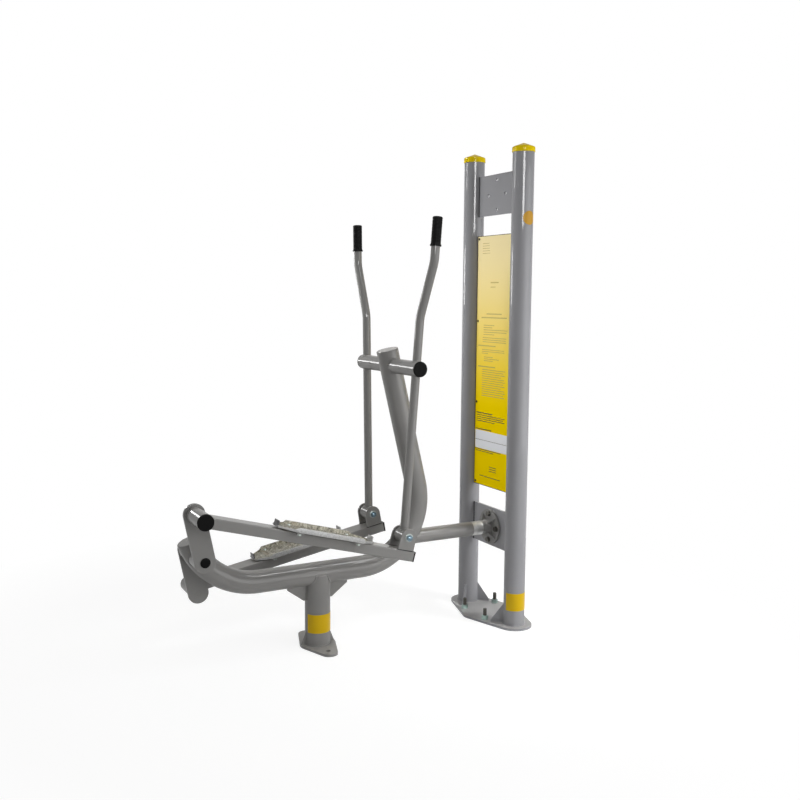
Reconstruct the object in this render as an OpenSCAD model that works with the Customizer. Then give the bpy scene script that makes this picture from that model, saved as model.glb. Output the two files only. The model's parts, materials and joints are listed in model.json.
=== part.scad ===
// Outdoor cross trainer on a twin-post stand, in millimetres.
// X runs forward to the stand, Y to the user's left and Z up. The origin is on the ground
// under the middle of the machine's column.

/* [Stand] */
// Outside diameter of each post
post_d = 88.9; // [76:0.1:110]
// Wall of each post
post_wall = 3.6; // [2.5:0.1:6]
// Distance between the two posts' axes
post_span = 360; // [320:5:440]
// Height of the caps' tips above the upper cross plate
post_over = 104; // [80:1:140]
// Distance from the column to the stand
stand_x = 830; // [780:5:950]
// Height of a cap's cone
cap_rise = 16; // [8:1:30]
// Height of a cap's upright rim
cap_rim = 22; // [15:1:40]
// Wall of a cap
cap_wall = 2.5; // [1.5:0.5:4]

/* [Stand plates] */
// Thickness of the two cross plates
plate_t = 8; // [5:1:12]
// Height of the upper cross plate
upper_h = 170; // [150:5:200]
// Bolt circle of the upper cross plate
upper_pcd = 125; // [100:5:140]
// Bolt hole of the cross plates
upper_hole_d = 14; // [10:1:18]
// Height of the lower cross plate
lower_h = 170; // [160:5:200]
// Height of the board
board_h = 1090; // [900:10:1200]
// Gap between the lower cross plate and the board
board_under = 86; // [60:1:120]
// Gap between the board and the upper cross plate
board_over = 83; // [60:1:120]
// Thickness of the board
board_t = 4; // [3:0.5:6]
// Number of screws down each side of the board
screw_rows = 4; // [3:1:6]

/* [Ground plates] */
// Thickness of the ground plates
ground_t = 10; // [8:1:15]
// Radius of the stand's ground plate round each post
stand_end_r = 76; // [66:1:90]
// Half width of the stand's ground plate in the middle
stand_mid = 133; // [115:1:150]
// Spacing of the anchor studs, both ways
anchor_span = 160; // [140:5:180]
// Diameter of an anchor stud
anchor_d = 16; // [12:1:20]
// Height of the anchor studs above the ground
anchor_h = 56; // [45:1:70]
// Half length of the column's ground plate
foot_half = 148; // [140:1:170]
// Radius of the column's ground plate across its middle
foot_mid_r = 72; // [66:1:90]
// Distance of an anchor hole from the column's axis
foot_hole_y = 105; // [95:1:115]
// Diameter of an anchor hole
ground_hole_d = 18; // [14:1:22]

/* [Frame] */
// Outside diameter of the main tube
main_d = 88.9; // [82:0.1:95]
// Wall of the main tube
main_wall = 3.6; // [2.5:0.1:6]
// Height of the main tube's level run
main_z = 295; // [270:1:340]
// Distance from the column back to the rear bend
rear_run = 247; // [200:1:300]
// Radius of the rear bend
rear_bend_r = 285; // [260:1:320]
// Turn of the rear bend up to its closed end
rear_turn = 70; // [66:1:76]
// Turn of the rear bend up to the crank axle
axle_turn = 58; // [52:1:60]
// Radius of the front bend
front_bend_r = 260; // [220:1:300]
// Lean of the mast towards the rear
mast_lean = 13.8; // [8:0.1:18]
// Length of the mast above the lever pivot
mast_over = 61; // [50:1:90]
// Outside diameter of the column
column_d = 101.6; // [90:0.1:110]
// Wall of the column
column_wall = 4; // [3:0.5:6]
// Height of the link tube to the stand
link_z = 392; // [388:1:398]
// Outside diameter of the link tube
link_d = 60.3; // [50:0.1:64]
// Bolt circle of the link flange
flange_pcd = 115; // [105:1:120]
// Diameter of the link flange
flange_d = 150; // [145:1:156]

/* [Levers] */
// Distance of the lever pivot forward of the column
pivot_x = 323; // [300:1:340]
// Height of the lever pivot
pivot_z = 1113; // [1080:1:1150]
// Distance of each lever from the middle plane
lever_y = 211; // [205:1:225]
// Length of a lever from its pivot to its lower eye
lever_drop = 652; // [640:1:670]
// Outside diameter of a lever tube
lever_d = 33.7; // [30:0.1:38]
// Wall of a lever tube
lever_wall = 3.2; // [2:0.1:4]
// Outside diameter of the cross tube and its sleeves
sleeve_d = 60.3; // [56:0.1:66]
// Distance from the middle plane to the seam of a sleeve
seam_y = 125; // [115:1:130]
// Sideways step of a handlebar
bar_step = 77; // [60:1:90]
// Height of the middle of a handlebar's step above the pivot
bar_mid = 303; // [280:1:340]
// Straight length of a handlebar between its step and the grip
bar_over = 36; // [20:1:60]
// Length of a grip
grip_l = 111; // [105:1:130]
// Outside diameter of a grip
grip_d = 38.5; // [37:0.5:44]

/* [Crank and pedals] */
// Crank radius from axle to pin
crank_r = 185; // [160:1:190]
// Direction of the right crank arm at rest, turned up from the forward direction
crank_angle = 101.5; // [80:0.5:110]
// Width of a crank arm
crank_w = 80; // [70:1:86]
// Thickness of a crank arm
crank_t = 12; // [10:1:15]
// Distance of a crank arm's outer face from the middle plane
crank_y = 115; // [112:1:120]
// Diameter of the crank axle
axle_d = 30; // [25:1:32]
// Diameter of a crank pin and of the lever shaft
pin_d = 25; // [20:1:28]
// Run of a pedal arm from the crank pin to under the lever eye
arm_run = 811; // [800:1:820]
// Height of the lever eye's axis over a pedal arm's centre line
arm_rise = 70; // [66:1:80]
// Width of a pedal arm
arm_w = 80; // [76:1:84]
// Height of a pedal arm
arm_h = 40; // [36:1:44]
// Wall of a pedal arm
arm_wall = 3; // [2:0.5:5]
// Outer radius of a pedal arm's corners
arm_corner = 5; // [2:0.5:8]
// Length of a foot plate
tread_l = 396; // [370:1:430]
// Width of a foot plate
tread_w = 140; // [130:1:150]
// Height of a foot plate's rim
tread_h = 18; // [14:1:26]

/* [Hidden] */
$fn = 48;

// Clearances: a hairline between the lengths of a bent tube, a welded or pressed seat, a
// running fit, a pair of faces that slide, and the overrun of a cut
hairline = 0.02;
seat = 0.15;
fit = 0.05;
slide = 0.5;
over = 1;

// Colours
post_grey = "#8d8d90";
frame_grey = "#898683";
cap_yellow = "#e6c500";
board_yellow = "#e0c22c";
plastic_black = "#1f1e1e";
zinc = "#b9c0c4";
bare_steel = "#a9abad";
tread_silver = "#b5b2a5";

// Crank axle, on the rear bend, and the corner where the mast's line meets the level run
axle_x = -rear_run - rear_bend_r*sin(axle_turn);
axle_z = main_z + rear_bend_r*(1 - cos(axle_turn));
corner_x = pivot_x + (pivot_z - main_z)*tan(mast_lean);
front_turn = 90 + mast_lean;
front_run = corner_x - front_bend_r*tan(front_turn/2);
mast_l = norm([pivot_x - corner_x, pivot_z - main_z]) - front_bend_r*tan(front_turn/2)
    + mast_over;

// Heights of the stand, stacked from the link tube up
board_z = link_z + lower_h/2 + board_under;
upper_z = board_z + board_h + board_over + upper_h/2;
stand_h = upper_z + upper_h/2 + post_over;

// Ball bearings: bore, outside diameter and width
hub_bearing = [axle_d, 62, 16];
pin_bearing = [pin_d, 52, 15];
bearing_set = 2;
bearing_race = 5;
bearing_groove = 1;

// Hub of the crank, between the two crank arms
hub_d = 76.1;
hub_gap = 2;
hub_half = crank_y - crank_t - hub_gap;

// Plastic end caps of the frame's tubes
tube_cap_t = 5;
tube_cap_chamfer = 2;

// Gussets under the main tube and at the foot of the column
gusset_t = 8;
gusset_run = 78;
gusset_drop = 60;
gusset_lip = 10;
rib_t = 6;
rib_run = 20;
rib_h = 50;
rib_count = 2;
foot_tip_r = 34;

// Cross tube, lever shaft and sleeves
sleeve_wall = 4.1;
seam_gap = 1.3;
sleeve_in = seam_y + seam_gap;
sleeve_out = 240;
collar_t = 10;
collar_in = 3;
sleeve_cap_t = 5;
sleeve_plug = 4;

// Link to the stand
link_wall = 4;
spigot_gap = 0.4;
spigot_wall = 5;
spigot_from = 109;
spigot_to = 60;
spigot_grip = 40;
flange_t = 10;
socket_l = 46;
flange_ribs = 4;
flange_rib_t = 6;
flange_hole_d = 13;
flange_bolt_d = 12;
flange_bolt_tail = 8;

// Ground plate and gussets of the stand
stand_mid_r = 50;
stand_gusset_run = 54;
stand_gusset_h = 82;
stand_gusset_t = 6;
stand_gusset_angle = 42;

// Board, its rails and screws
rail_w = 26;
rail_t = 5;
board_gap = 1;
screw_inset = 12;
screw_d = 5;
screw_head_d = 11;
screw_head_h = 3;

// Hexagons are wider over their corners than over their flats
hex_share = 1/cos(30);
anchor_nut_af = 24;
anchor_nut_h = 13;
anchor_washer_d = 30;
anchor_washer_t = 3;
// The thread starts a little above the nut, and the shank below is thinner
anchor_thread_gap = 0.4;
anchor_neck = 0.5;

// Handlebar bends and grip
bar_bend_r = 120;
bar_angle = 20;
grip_wall = 2.4;
grip_ring_d = 43.5;
grip_ring_h = 6;
grip_ribs = 15;
grip_rib_depth = 0.9;
grip_dome = 5;
grip_top = 4;

// Lower eye of the lever and the clevis on the pedal arm
eye_d = 58;
ear_t = 8;
ear_base = 70;
ear_r = 34;
eye_gap = 2;
eye_half = arm_w/2 - ear_t - eye_gap;
bush_d = 30;
bush_flange_d = 44;
bush_flange_t = eye_gap - slide;
bush_l = 22;
clevis_bolt_d = 16;
clevis_washer_d = 30;
clevis_washer_t = 2.5;
clevis_head_af = 22;
clevis_head_h = 8;

// Pedal arm, its sleeve on the crank pin, its cross bars and the foot plate
arm_end = 41;
arm_cap_t = 5;
arm_cap_plug = 12;
arm_sleeve_in = 3;
bar_t = 5;
bar_w = 30;
bar_half = 64;
tread_y = 7;
tread_mid = 467;
tread_t = 4;
tread_tip_w = 60;
tread_clip = 65;
tread_bolt_u = 122;
tread_bolt_y = 55;
tread_bolt_d = 8;
tread_head_d = 15;
tread_head_h = 3;
tread_nut_h = 7;
tread_nut_af = 13;

// Crank pins and caps of the axle
shoulder_d = 38;
shoulder_t = 2;
stud_d = 20;
pin_end_out = 1;
axle_cap_d = 37;
axle_cap_t = 5;

// The linkage at rest. A side is -1 for right and 1 for left.
arm_reach = norm([arm_run, arm_rise]);
function crank_turn(side) = side < 0 ? crank_angle : crank_angle + 180;
function pin_at(side) = [axle_x + crank_r*cos(crank_turn(side)),
    axle_z + crank_r*sin(crank_turn(side))];
// The lower eye is where the pedal arm's reach from the crank pin meets the lever's length
function eye_at(side) = let (
        p = pin_at(side), d = [pivot_x, pivot_z] - p, l = norm(d), e = d/l,
        a = (arm_reach*arm_reach - lever_drop*lever_drop + l*l)/(2*l),
        h = sqrt(arm_reach*arm_reach - a*a))
    p + a*e + h*[e[1], -e[0]];
function lever_tilt(side) = let (k = eye_at(side))
    -atan2(k[0] - pivot_x, pivot_z - k[1]);
function arm_tilt(side) = let (v = eye_at(side) - pin_at(side))
    -(atan2(v[1], v[0]) - atan2(arm_rise, arm_run));

// Frames of the moving parts
module on_lever(side) {
    translate([pivot_x, 0, pivot_z]) rotate([0, lever_tilt(side), 0]) children();
}
module on_arm(side) {
    p = pin_at(side);
    translate([p[0], 0, p[1]]) rotate([0, arm_tilt(side), 0]) children();
}

// A round bar along Y from one distance to another on one side
module side_bar(side, d, from, to) {
    translate([0, side < 0 ? -to : from, 0]) rotate([-90, 0, 0])
        cylinder(h = to - from, d = d);
}
// A round tube along Y on one side
module side_tube(side, d, bore, from, to) {
    difference() {
        side_bar(side, d, from, to);
        side_bar(side, bore, from - over, to + over);
    }
}
// A hexagon along Y
module side_hex(side, af, from, to) {
    translate([0, side < 0 ? -to : from, 0]) rotate([-90, 0, 0])
        cylinder(h = to - from, d = af*hex_share, $fn = 6);
}
// A sealed ball bearing along Y, with a groove between its rings on both faces
module bearing(side, size, from) {
    bore = size[0]/2 + fit;
    rim = size[1]/2 - fit;
    w = size[2];
    translate([0, side < 0 ? -from - w : from, 0]) rotate([-90, 0, 0]) rotate_extrude()
        polygon([[bore, 0], [bore + bearing_race, 0], [bore + bearing_race, bearing_groove],
            [rim - bearing_race, bearing_groove], [rim - bearing_race, 0], [rim, 0], [rim, w],
            [rim - bearing_race, w], [rim - bearing_race, w - bearing_groove],
            [bore + bearing_race, w - bearing_groove], [bore + bearing_race, w], [bore, w]]);
}

// A tube's section
module tube_section(d, wall) {
    difference() {
        circle(d = d);
        circle(d = d - 2*wall);
    }
}
// A straight length of the section given, along Y in the plane of a bend
module straight(l) {
    translate([0, hairline, 0]) rotate([-90, 0, 0]) linear_extrude(l - 2*hairline) children();
}
// A bend of the section given, in the plane of X and Y
module bend(r, turn) {
    rotate_extrude(angle = turn) translate([r, 0]) children();
}

// The main tube's line with the section given: the rear bend, the level run, the front bend
// and the mast
module main_line() {
    rotate([90, 0, 0]) {
        translate([-rear_run, main_z + rear_bend_r, 0]) rotate(-90 - rear_turn)
            bend(rear_bend_r, rear_turn) children();
        translate([-rear_run, main_z, 0]) rotate(-90) straight(rear_run + front_run) children();
        translate([front_run, main_z + front_bend_r, 0]) {
            rotate(-90) bend(front_bend_r, front_turn) children();
            rotate(front_turn - 90) translate([front_bend_r, 0, 0]) straight(mast_l) children();
        }
    }
}
// A place at the closed rear end, looking out along the tube
module at_rear_end() {
    rotate([90, 0, 0]) translate([-rear_run, main_z + rear_bend_r, 0])
        rotate(-90 - rear_turn) translate([rear_bend_r, 0, 0]) rotate([90, 0, 0]) children();
}
// A place at the top of the mast, looking out along the tube
module at_mast_top() {
    rotate([90, 0, 0]) translate([front_run, main_z + front_bend_r, 0])
        rotate(front_turn - 90) translate([front_bend_r, mast_l, 0]) rotate([-90, 0, 0])
            children();
}
module at_axle() { translate([axle_x, 0, axle_z]) children(); }
module at_pivot() { translate([pivot_x, 0, pivot_z]) children(); }

module main_tube() color(frame_grey) difference() {
    main_line() tube_section(main_d, main_wall);
    at_axle() side_bar(1, hub_d + 2*seat, -main_d, main_d);
    at_pivot() side_bar(1, sleeve_d + 2*seat, -main_d, main_d);
}

module tube_end_cap() {
    cylinder(h = tube_cap_t - tube_cap_chamfer, d = main_d);
    translate([0, 0, tube_cap_t - tube_cap_chamfer])
        cylinder(h = tube_cap_chamfer, d1 = main_d, d2 = main_d - 2*tube_cap_chamfer);
}
module main_tube_caps() color(frame_grey) {
    at_rear_end() tube_end_cap();
    at_mast_top() tube_end_cap();
}

module column() color(frame_grey) difference() {
    translate([0, 0, ground_t]) cylinder(h = main_z - ground_t, d = column_d);
    translate([0, 0, ground_t - over]) cylinder(h = main_z, d = column_d - 2*column_wall);
    translate([-rear_run, 0, main_z]) rotate([0, 90, 0])
        cylinder(h = rear_run + front_run, d = main_d + 2*seat);
}

module column_foot_plate() color(frame_grey) difference() {
    linear_extrude(ground_t) hull() {
        circle(r = foot_mid_r);
        for (s = [-1, 1]) translate([0, s*(foot_half - foot_tip_r)]) circle(r = foot_tip_r);
    }
    for (s = [-1, 1]) translate([0, s*foot_hole_y, -over])
        cylinder(h = ground_t + 2*over, d = ground_hole_d);
}

module column_gussets() color(frame_grey) {
    column_side = column_d/2 + seat;
    top = main_z - main_d/2 - seat;
    for (s = [-1, 1]) scale([s, 1, 1]) translate([0, gusset_t/2, 0]) rotate([90, 0, 0])
        linear_extrude(gusset_t) polygon([[column_side, top], [column_side + gusset_run, top],
            [column_side + gusset_run, top - gusset_lip],
            [column_side + gusset_lip, top - gusset_drop], [column_side, top - gusset_drop]]);
    for (i = [0:rib_count - 1]) rotate(360*i/rib_count) translate([0, rib_t/2, 0])
        rotate([90, 0, 0]) linear_extrude(rib_t) polygon([[column_side, ground_t],
            [column_side + rib_run, ground_t], [column_side, ground_t + rib_h]]);
}

module crank_hub() color(frame_grey) at_axle()
    side_tube(1, hub_d, hub_bearing[1], -hub_half, hub_half);

module hub_bearings() color(bare_steel) at_axle() for (s = [-1, 1])
    bearing(s, hub_bearing, hub_half - bearing_set - hub_bearing[2]);

module cross_tube() color(frame_grey) at_pivot()
    side_tube(1, sleeve_d, sleeve_d - 2*sleeve_wall, -seam_y, seam_y);

// The shaft runs right across, with a collar welded in each end of the cross tube
module pivot_shaft() color(bare_steel) at_pivot() {
    half = sleeve_out - sleeve_plug - slide;
    collar = (sleeve_d - 2*sleeve_wall)/2 - seat;
    rotate([-90, 0, 0]) rotate_extrude() polygon([[0, -half], [pin_d/2, -half],
        [pin_d/2, -seam_y + collar_in], [collar, -seam_y + collar_in],
        [collar, -seam_y + collar_in + collar_t], [pin_d/2, -seam_y + collar_in + collar_t],
        [pin_d/2, seam_y - collar_in - collar_t], [collar, seam_y - collar_in - collar_t],
        [collar, seam_y - collar_in], [pin_d/2, seam_y - collar_in], [pin_d/2, half],
        [0, half]]);
}

// The link tube meets the front bend of the main tube and holds the spigot of the stand
module link_bar(d, from, to) {
    translate([from, 0, link_z]) rotate([0, 90, 0]) cylinder(h = to - from, d = d);
}
link_from = front_run + sqrt(pow(front_bend_r, 2) - pow(front_bend_r - (link_z - main_z), 2));
link_to = stand_x - spigot_from;
module link_tube() color(frame_grey) difference() {
    link_bar(link_d, link_from, link_to);
    link_bar(link_d - 2*link_wall, link_from - over, link_to + over);
    main_line() circle(d = main_d + 2*seat);
}

spigot_d = link_d - 2*link_wall - 2*spigot_gap;
module link_spigot() color(bare_steel) difference() {
    union() {
        link_bar(spigot_d, link_to - spigot_grip, stand_x - spigot_to + spigot_grip);
        link_bar(link_d, link_to + spigot_gap, stand_x - spigot_to - spigot_gap);
    }
    link_bar(spigot_d - 2*spigot_wall, link_to - spigot_grip - over,
        stand_x - spigot_to + spigot_grip + over);
}

flange_face = stand_x - plate_t/2;
module flange_places() {
    for (i = [0:3]) translate([flange_face, 0, link_z]) rotate([90*i, 0, 0])
        translate([0, flange_pcd/2, 0]) rotate([0, -90, 0]) children();
}
module link_flange() color(frame_grey) difference() {
    union() {
        link_bar(flange_d, flange_face - flange_t, flange_face);
        link_bar(link_d, stand_x - spigot_to, flange_face - flange_t);
        for (i = [0:flange_ribs - 1]) translate([flange_face - flange_t, 0, link_z])
            rotate([360*(i + 1/2)/flange_ribs, 0, 0]) translate([0, 0, -flange_rib_t/2])
                linear_extrude(flange_rib_t) polygon([[0, link_d/2 - link_wall/2],
                    [0, flange_d/2 - flange_rib_t], [-socket_l/2, link_d/2],
                    [-socket_l/2, link_d/2 - link_wall/2]]);
    }
    link_bar(link_d - 2*link_wall, stand_x - spigot_to - over, flange_face + over);
    flange_places() translate([0, 0, -over])
        cylinder(h = flange_t + 2*over, d = flange_hole_d);
}

module flange_bolts() color(zinc) flange_places() {
    translate([0, 0, flange_t]) cylinder(h = anchor_washer_t, d = 2*flange_bolt_d);
    translate([0, 0, flange_t + anchor_washer_t])
        cylinder(h = flange_bolt_tail, d = 1.6*flange_bolt_d*hex_share, $fn = 6);
    translate([0, 0, -plate_t - anchor_washer_t])
        cylinder(h = plate_t + flange_t + anchor_washer_t, d = flange_bolt_d);
    translate([0, 0, -plate_t - 2*flange_bolt_tail])
        cylinder(h = 2*flange_bolt_tail, d = 1.6*flange_bolt_d*hex_share, $fn = 6);
}

module post(side) color(post_grey) translate([stand_x, side*post_span/2, ground_t])
    difference() {
        post_h = stand_h - cap_rise - cap_wall - ground_t;
        cylinder(h = post_h, d = post_d);
        translate([0, 0, -over]) cylinder(h = post_h + 2*over, d = post_d - 2*post_wall);
    }

module post_caps() color(cap_yellow) for (s = [-1, 1])
    translate([stand_x, s*post_span/2, stand_h]) rotate_extrude()
        polygon([[0, 0], [post_d/2 + cap_wall + seat, -cap_rise],
            [post_d/2 + cap_wall + seat, -cap_rise - cap_rim],
            [post_d/2 + seat, -cap_rise - cap_rim], [post_d/2 + seat, -cap_rise - cap_wall],
            [0, -cap_rise - cap_wall]]);

module anchor_places() {
    for (x = [-1, 1], y = [-1, 1])
        translate([stand_x + x*anchor_span/2, y*anchor_span/2, 0]) children();
}
module stand_base_plate() color(post_grey) difference() {
    translate([stand_x, 0, 0]) linear_extrude(ground_t) hull() for (s = [-1, 1]) {
        translate([0, s*post_span/2]) circle(r = stand_end_r);
        translate([s*(stand_mid - stand_mid_r), 0]) circle(r = stand_mid_r);
    }
    anchor_places() translate([0, 0, -over])
        cylinder(h = ground_t + 2*over, d = ground_hole_d);
}

module stand_gussets() color(post_grey) for (x = [-1, 1], y = [-1, 1])
    translate([stand_x, y*post_span/2, 0]) rotate(90 - 90*x + x*-y*stand_gusset_angle)
        translate([0, stand_gusset_t/2, 0]) rotate([90, 0, 0]) linear_extrude(stand_gusset_t)
            polygon([[post_d/2 + seat, ground_t],
                [post_d/2 + stand_gusset_run, ground_t],
                [post_d/2 + stand_gusset_run, ground_t + stand_gusset_t],
                [post_d/2 + seat, ground_t + stand_gusset_h]]);

module anchor_bolts() color(zinc) anchor_places() {
    shank_h = ground_t + anchor_washer_t + anchor_nut_h + anchor_thread_gap;
    cylinder(h = shank_h, d = anchor_d - 2*anchor_neck);
    translate([0, 0, shank_h]) cylinder(h = anchor_h - shank_h, d = anchor_d);
    translate([0, 0, ground_t]) difference() {
        union() {
            cylinder(h = anchor_washer_t, d = anchor_washer_d);
            translate([0, 0, anchor_washer_t])
                cylinder(h = anchor_nut_h, d = anchor_nut_af*hex_share, $fn = 6);
        }
        translate([0, 0, -over])
            cylinder(h = anchor_washer_t + anchor_nut_h + 2*over, d = anchor_d + 2*fit);
    }
}

plate_w = post_span - post_d - 2*seat;
module cross_plate(z, h) {
    translate([stand_x - plate_t/2, -plate_w/2, z - h/2]) cube([plate_t, plate_w, h]);
}
module upper_plate() color(post_grey) difference() {
    cross_plate(upper_z, upper_h);
    for (i = [0:3]) translate([stand_x, 0, upper_z]) rotate([90*i, 0, 0])
        translate([-plate_t/2 - over, upper_pcd/2, 0]) rotate([0, 90, 0])
            cylinder(h = plate_t + 2*over, d = upper_hole_d);
}
module lower_plate() color(post_grey) difference() {
    cross_plate(link_z, lower_h);
    flange_places() translate([0, 0, -plate_t - over])
        cylinder(h = plate_t + 2*over, d = flange_hole_d);
}

board_w = plate_w - 2*board_gap;
board_x = stand_x - rail_t/2 - board_t;
module screw_places() {
    step = (board_h - 2*screw_inset)/(screw_rows - 1);
    for (s = [-1, 1], i = [0:screw_rows - 1])
        translate([board_x, s*(board_w/2 - screw_inset), board_z + screw_inset + i*step])
            rotate([0, 90, 0]) children();
}
module board() color(board_yellow) difference() {
    translate([board_x, -board_w/2, board_z]) cube([board_t, board_w, board_h]);
    screw_places() translate([0, 0, -over]) cylinder(h = board_t + 2*over, d = screw_d + 2*fit);
}
module board_rails() color(post_grey) difference() {
    for (s = [-1, 1]) translate([stand_x - rail_t/2, s*plate_w/2 - (s > 0 ? rail_w : 0), board_z])
        cube([rail_t, rail_w, board_h]);
    screw_places() cylinder(h = board_t + rail_t + over, d = screw_d + 2*fit);
}
module board_screws() color(zinc) screw_places() {
    cylinder(h = board_t + rail_t, d = screw_d);
    rotate([180, 0, 0]) cylinder(h = screw_head_h, d1 = screw_head_d, d2 = screw_head_d - screw_head_h);
}

// Crank: the axle, one flat arm a side, and the nut of each crank pin
module on_crank(side) {
    translate([axle_x, 0, axle_z]) rotate([0, -crank_turn(side), 0]) children();
}
module crank_axle() color(bare_steel) at_axle() side_bar(1, axle_d, -crank_y, crank_y);

module crank_arm(side) color(frame_grey) on_crank(side) difference() {
    union() {
        side_bar(side, crank_w, crank_y - crank_t, crank_y);
        translate([crank_r, 0, 0]) side_bar(side, crank_w, crank_y - crank_t, crank_y);
        translate([0, side < 0 ? -crank_y : crank_y - crank_t, -crank_w/2])
            cube([crank_r, crank_t, crank_w]);
    }
    side_bar(side, axle_d + 2*fit, crank_y - crank_t - over, crank_y + over);
    translate([crank_r, 0, 0])
        side_bar(side, stud_d + 2*fit, crank_y - crank_t - over, crank_y + over);
}
module axle_caps() color(plastic_black) at_axle() for (s = [-1, 1])
    rotate([s < 0 ? 90 : -90, 0, 0]) translate([0, 0, crank_y]) {
        cylinder(h = axle_cap_t/2, d = axle_cap_d);
        translate([0, 0, axle_cap_t/2])
            cylinder(h = axle_cap_t/2, d1 = axle_cap_d, d2 = axle_cap_d - axle_cap_t);
    }
module crank_pin_ends() color(frame_grey) for (s = [-1, 1]) on_crank(s)
    translate([crank_r, 0, 0])
        side_bar(s, stud_d, crank_y - crank_t - pin_end_out, crank_y - slide);

// Lever: a tube down to the eye, a sleeve on the lever shaft and a bent handlebar above
module lever(side) color(frame_grey) on_lever(side) translate([0, side*lever_y, 0])
    difference() {
        union() {
            translate([0, 0, -lever_drop]) cylinder(h = lever_drop, d = lever_d);
            translate([0, 0, -lever_drop]) side_bar(1, eye_d, -eye_half, eye_half);
        }
        translate([0, 0, eye_d/2 - lever_drop])
            cylinder(h = lever_drop, d = lever_d - 2*lever_wall);
        side_bar(1, sleeve_d + 2*seat, -sleeve_d, sleeve_d);
        translate([0, 0, -lever_drop]) side_bar(1, bush_d + 2*fit, -eye_half - over, eye_half + over);
    }

bar_straight = (bar_step - 2*bar_bend_r*(1 - cos(bar_angle)))/sin(bar_angle);
bar_half_h = bar_bend_r*sin(bar_angle) + bar_straight*cos(bar_angle)/2;
bar_rise = bar_mid + bar_half_h + bar_over + grip_l;
// The handlebar's line with the section given, in the plane of X (outwards) and Y (up)
module bar_line() {
    straight(bar_mid - bar_half_h) children();
    translate([bar_bend_r, bar_mid - bar_half_h, 0]) rotate(180 - bar_angle) {
        bend(bar_bend_r, bar_angle) children();
        translate([bar_bend_r, -bar_straight, 0]) straight(bar_straight) children();
    }
    translate([bar_step, bar_mid + bar_half_h, 0]) {
        translate([-bar_bend_r, 0, 0]) rotate(-bar_angle) bend(bar_bend_r, bar_angle) children();
        straight(bar_rise - grip_top - bar_mid - bar_half_h) children();
    }
}
module handlebar(side) color(frame_grey) on_lever(side) difference() {
    translate([0, side*lever_y, 0]) rotate([0, 0, side*90]) rotate([90, 0, 0])
        bar_line() tube_section(lever_d, lever_wall);
    side_bar(side, sleeve_d + 2*seat, sleeve_in - over, sleeve_out + over);
}
module grip(side) color(plastic_black) on_lever(side)
    translate([0, side*(lever_y + bar_step), bar_rise - grip_l]) rotate_extrude() {
        bore = lever_d/2 + fit;
        rib_run = (grip_l - grip_ring_h - 2*grip_dome)/grip_ribs;
        difference() {
            union() {
                translate([bore, 0]) square([grip_ring_d/2 - bore, grip_ring_h]);
                translate([0, 0]) square([grip_d/2, grip_l - grip_dome]);
                translate([0, grip_l - grip_dome])
                    polygon([[0, 0], [grip_d/2, 0], [grip_d/2 - grip_dome/2, grip_dome*2/3],
                        [grip_d/4, grip_dome], [0, grip_dome]]);
            }
            translate([-over, -over]) square([bore + over, grip_l - grip_top + over]);
            for (i = [0:grip_ribs - 1])
                translate([grip_d/2 - grip_rib_depth, grip_ring_h + grip_dome + i*rib_run])
                    square([grip_rib_depth + over, rib_run/2]);
        }
    }
module lever_sleeve(side) color(frame_grey) on_lever(side)
    side_tube(side, sleeve_d, pin_bearing[1], sleeve_in, sleeve_out);
module plug_cap(side, from) {
    side_bar(side, sleeve_d, from, from + sleeve_cap_t);
    side_bar(side, pin_bearing[1] - 2*seat, from - sleeve_plug, from + sleeve_cap_t/2);
}
module sleeve_cap(side) color(plastic_black) on_lever(side) plug_cap(side, sleeve_out);
module lever_bearings(side) color(bare_steel) on_lever(side) {
    bearing(side, pin_bearing, sleeve_in + bearing_set);
    bearing(side, pin_bearing, sleeve_out - sleeve_plug - bearing_set - pin_bearing[2]);
    for (s = [-1, 1]) translate([0, side*lever_y, -lever_drop]) difference() {
        union() {
            side_bar(s, bush_d, eye_half - bush_l, eye_half + bush_flange_t);
            side_bar(s, bush_flange_d, eye_half, eye_half + bush_flange_t);
        }
        side_bar(s, clevis_bolt_d + 2*fit, eye_half - bush_l - over, eye_half + eye_gap);
    }
}

// Pedal arm: a flat box tube with two cross bars on top, saddled on its sleeve
arm_sleeve_from = crank_y + arm_sleeve_in;
arm_sleeve_to = lever_y + arm_w/2 - sleeve_cap_t;
arm_l = arm_run + arm_end;
// A length of box section along X, with its long edges rounded
module arm_box(w, h, r, from, to) {
    translate([from, 0, 0]) rotate([0, 90, 0]) linear_extrude(to - from) {
        square([h - 2*r, w], center = true);
        square([h, w - 2*r], center = true);
        for (x = [-1, 1], y = [-1, 1]) translate([x*(h/2 - r), y*(w/2 - r)]) circle(r = r);
    }
}
module tread_bolt_places(side) {
    for (x = [-1, 1], y = [-1, 1])
        translate([tread_mid + x*tread_bolt_u, side*tread_y + y*tread_bolt_y,
            arm_h/2 + bar_t]) children();
}
module pedal_arm(side) color(frame_grey) on_arm(side) translate([0, side*lever_y, 0])
    difference() {
        union() {
            arm_box(arm_w, arm_h, arm_corner, 0, arm_l);
            for (x = [-1, 1])
                translate([tread_mid + x*tread_bolt_u - bar_w/2, side*tread_y - bar_half, arm_h/2])
                    cube([bar_w, 2*bar_half, bar_t]);
        }
        arm_box(arm_w - 2*arm_wall, arm_h - 2*arm_wall, arm_corner/2, -over, arm_l + over);
        side_bar(1, sleeve_d + 2*seat, -arm_w, arm_w);
        tread_bolt_places(side) translate([0, 0, -bar_t - over])
            cylinder(h = bar_t + 2*over, d = tread_bolt_d + 2*fit);
    }
module arm_sleeve(side) color(frame_grey) on_arm(side)
    side_tube(side, sleeve_d, pin_bearing[1], arm_sleeve_from, arm_sleeve_to);
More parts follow.
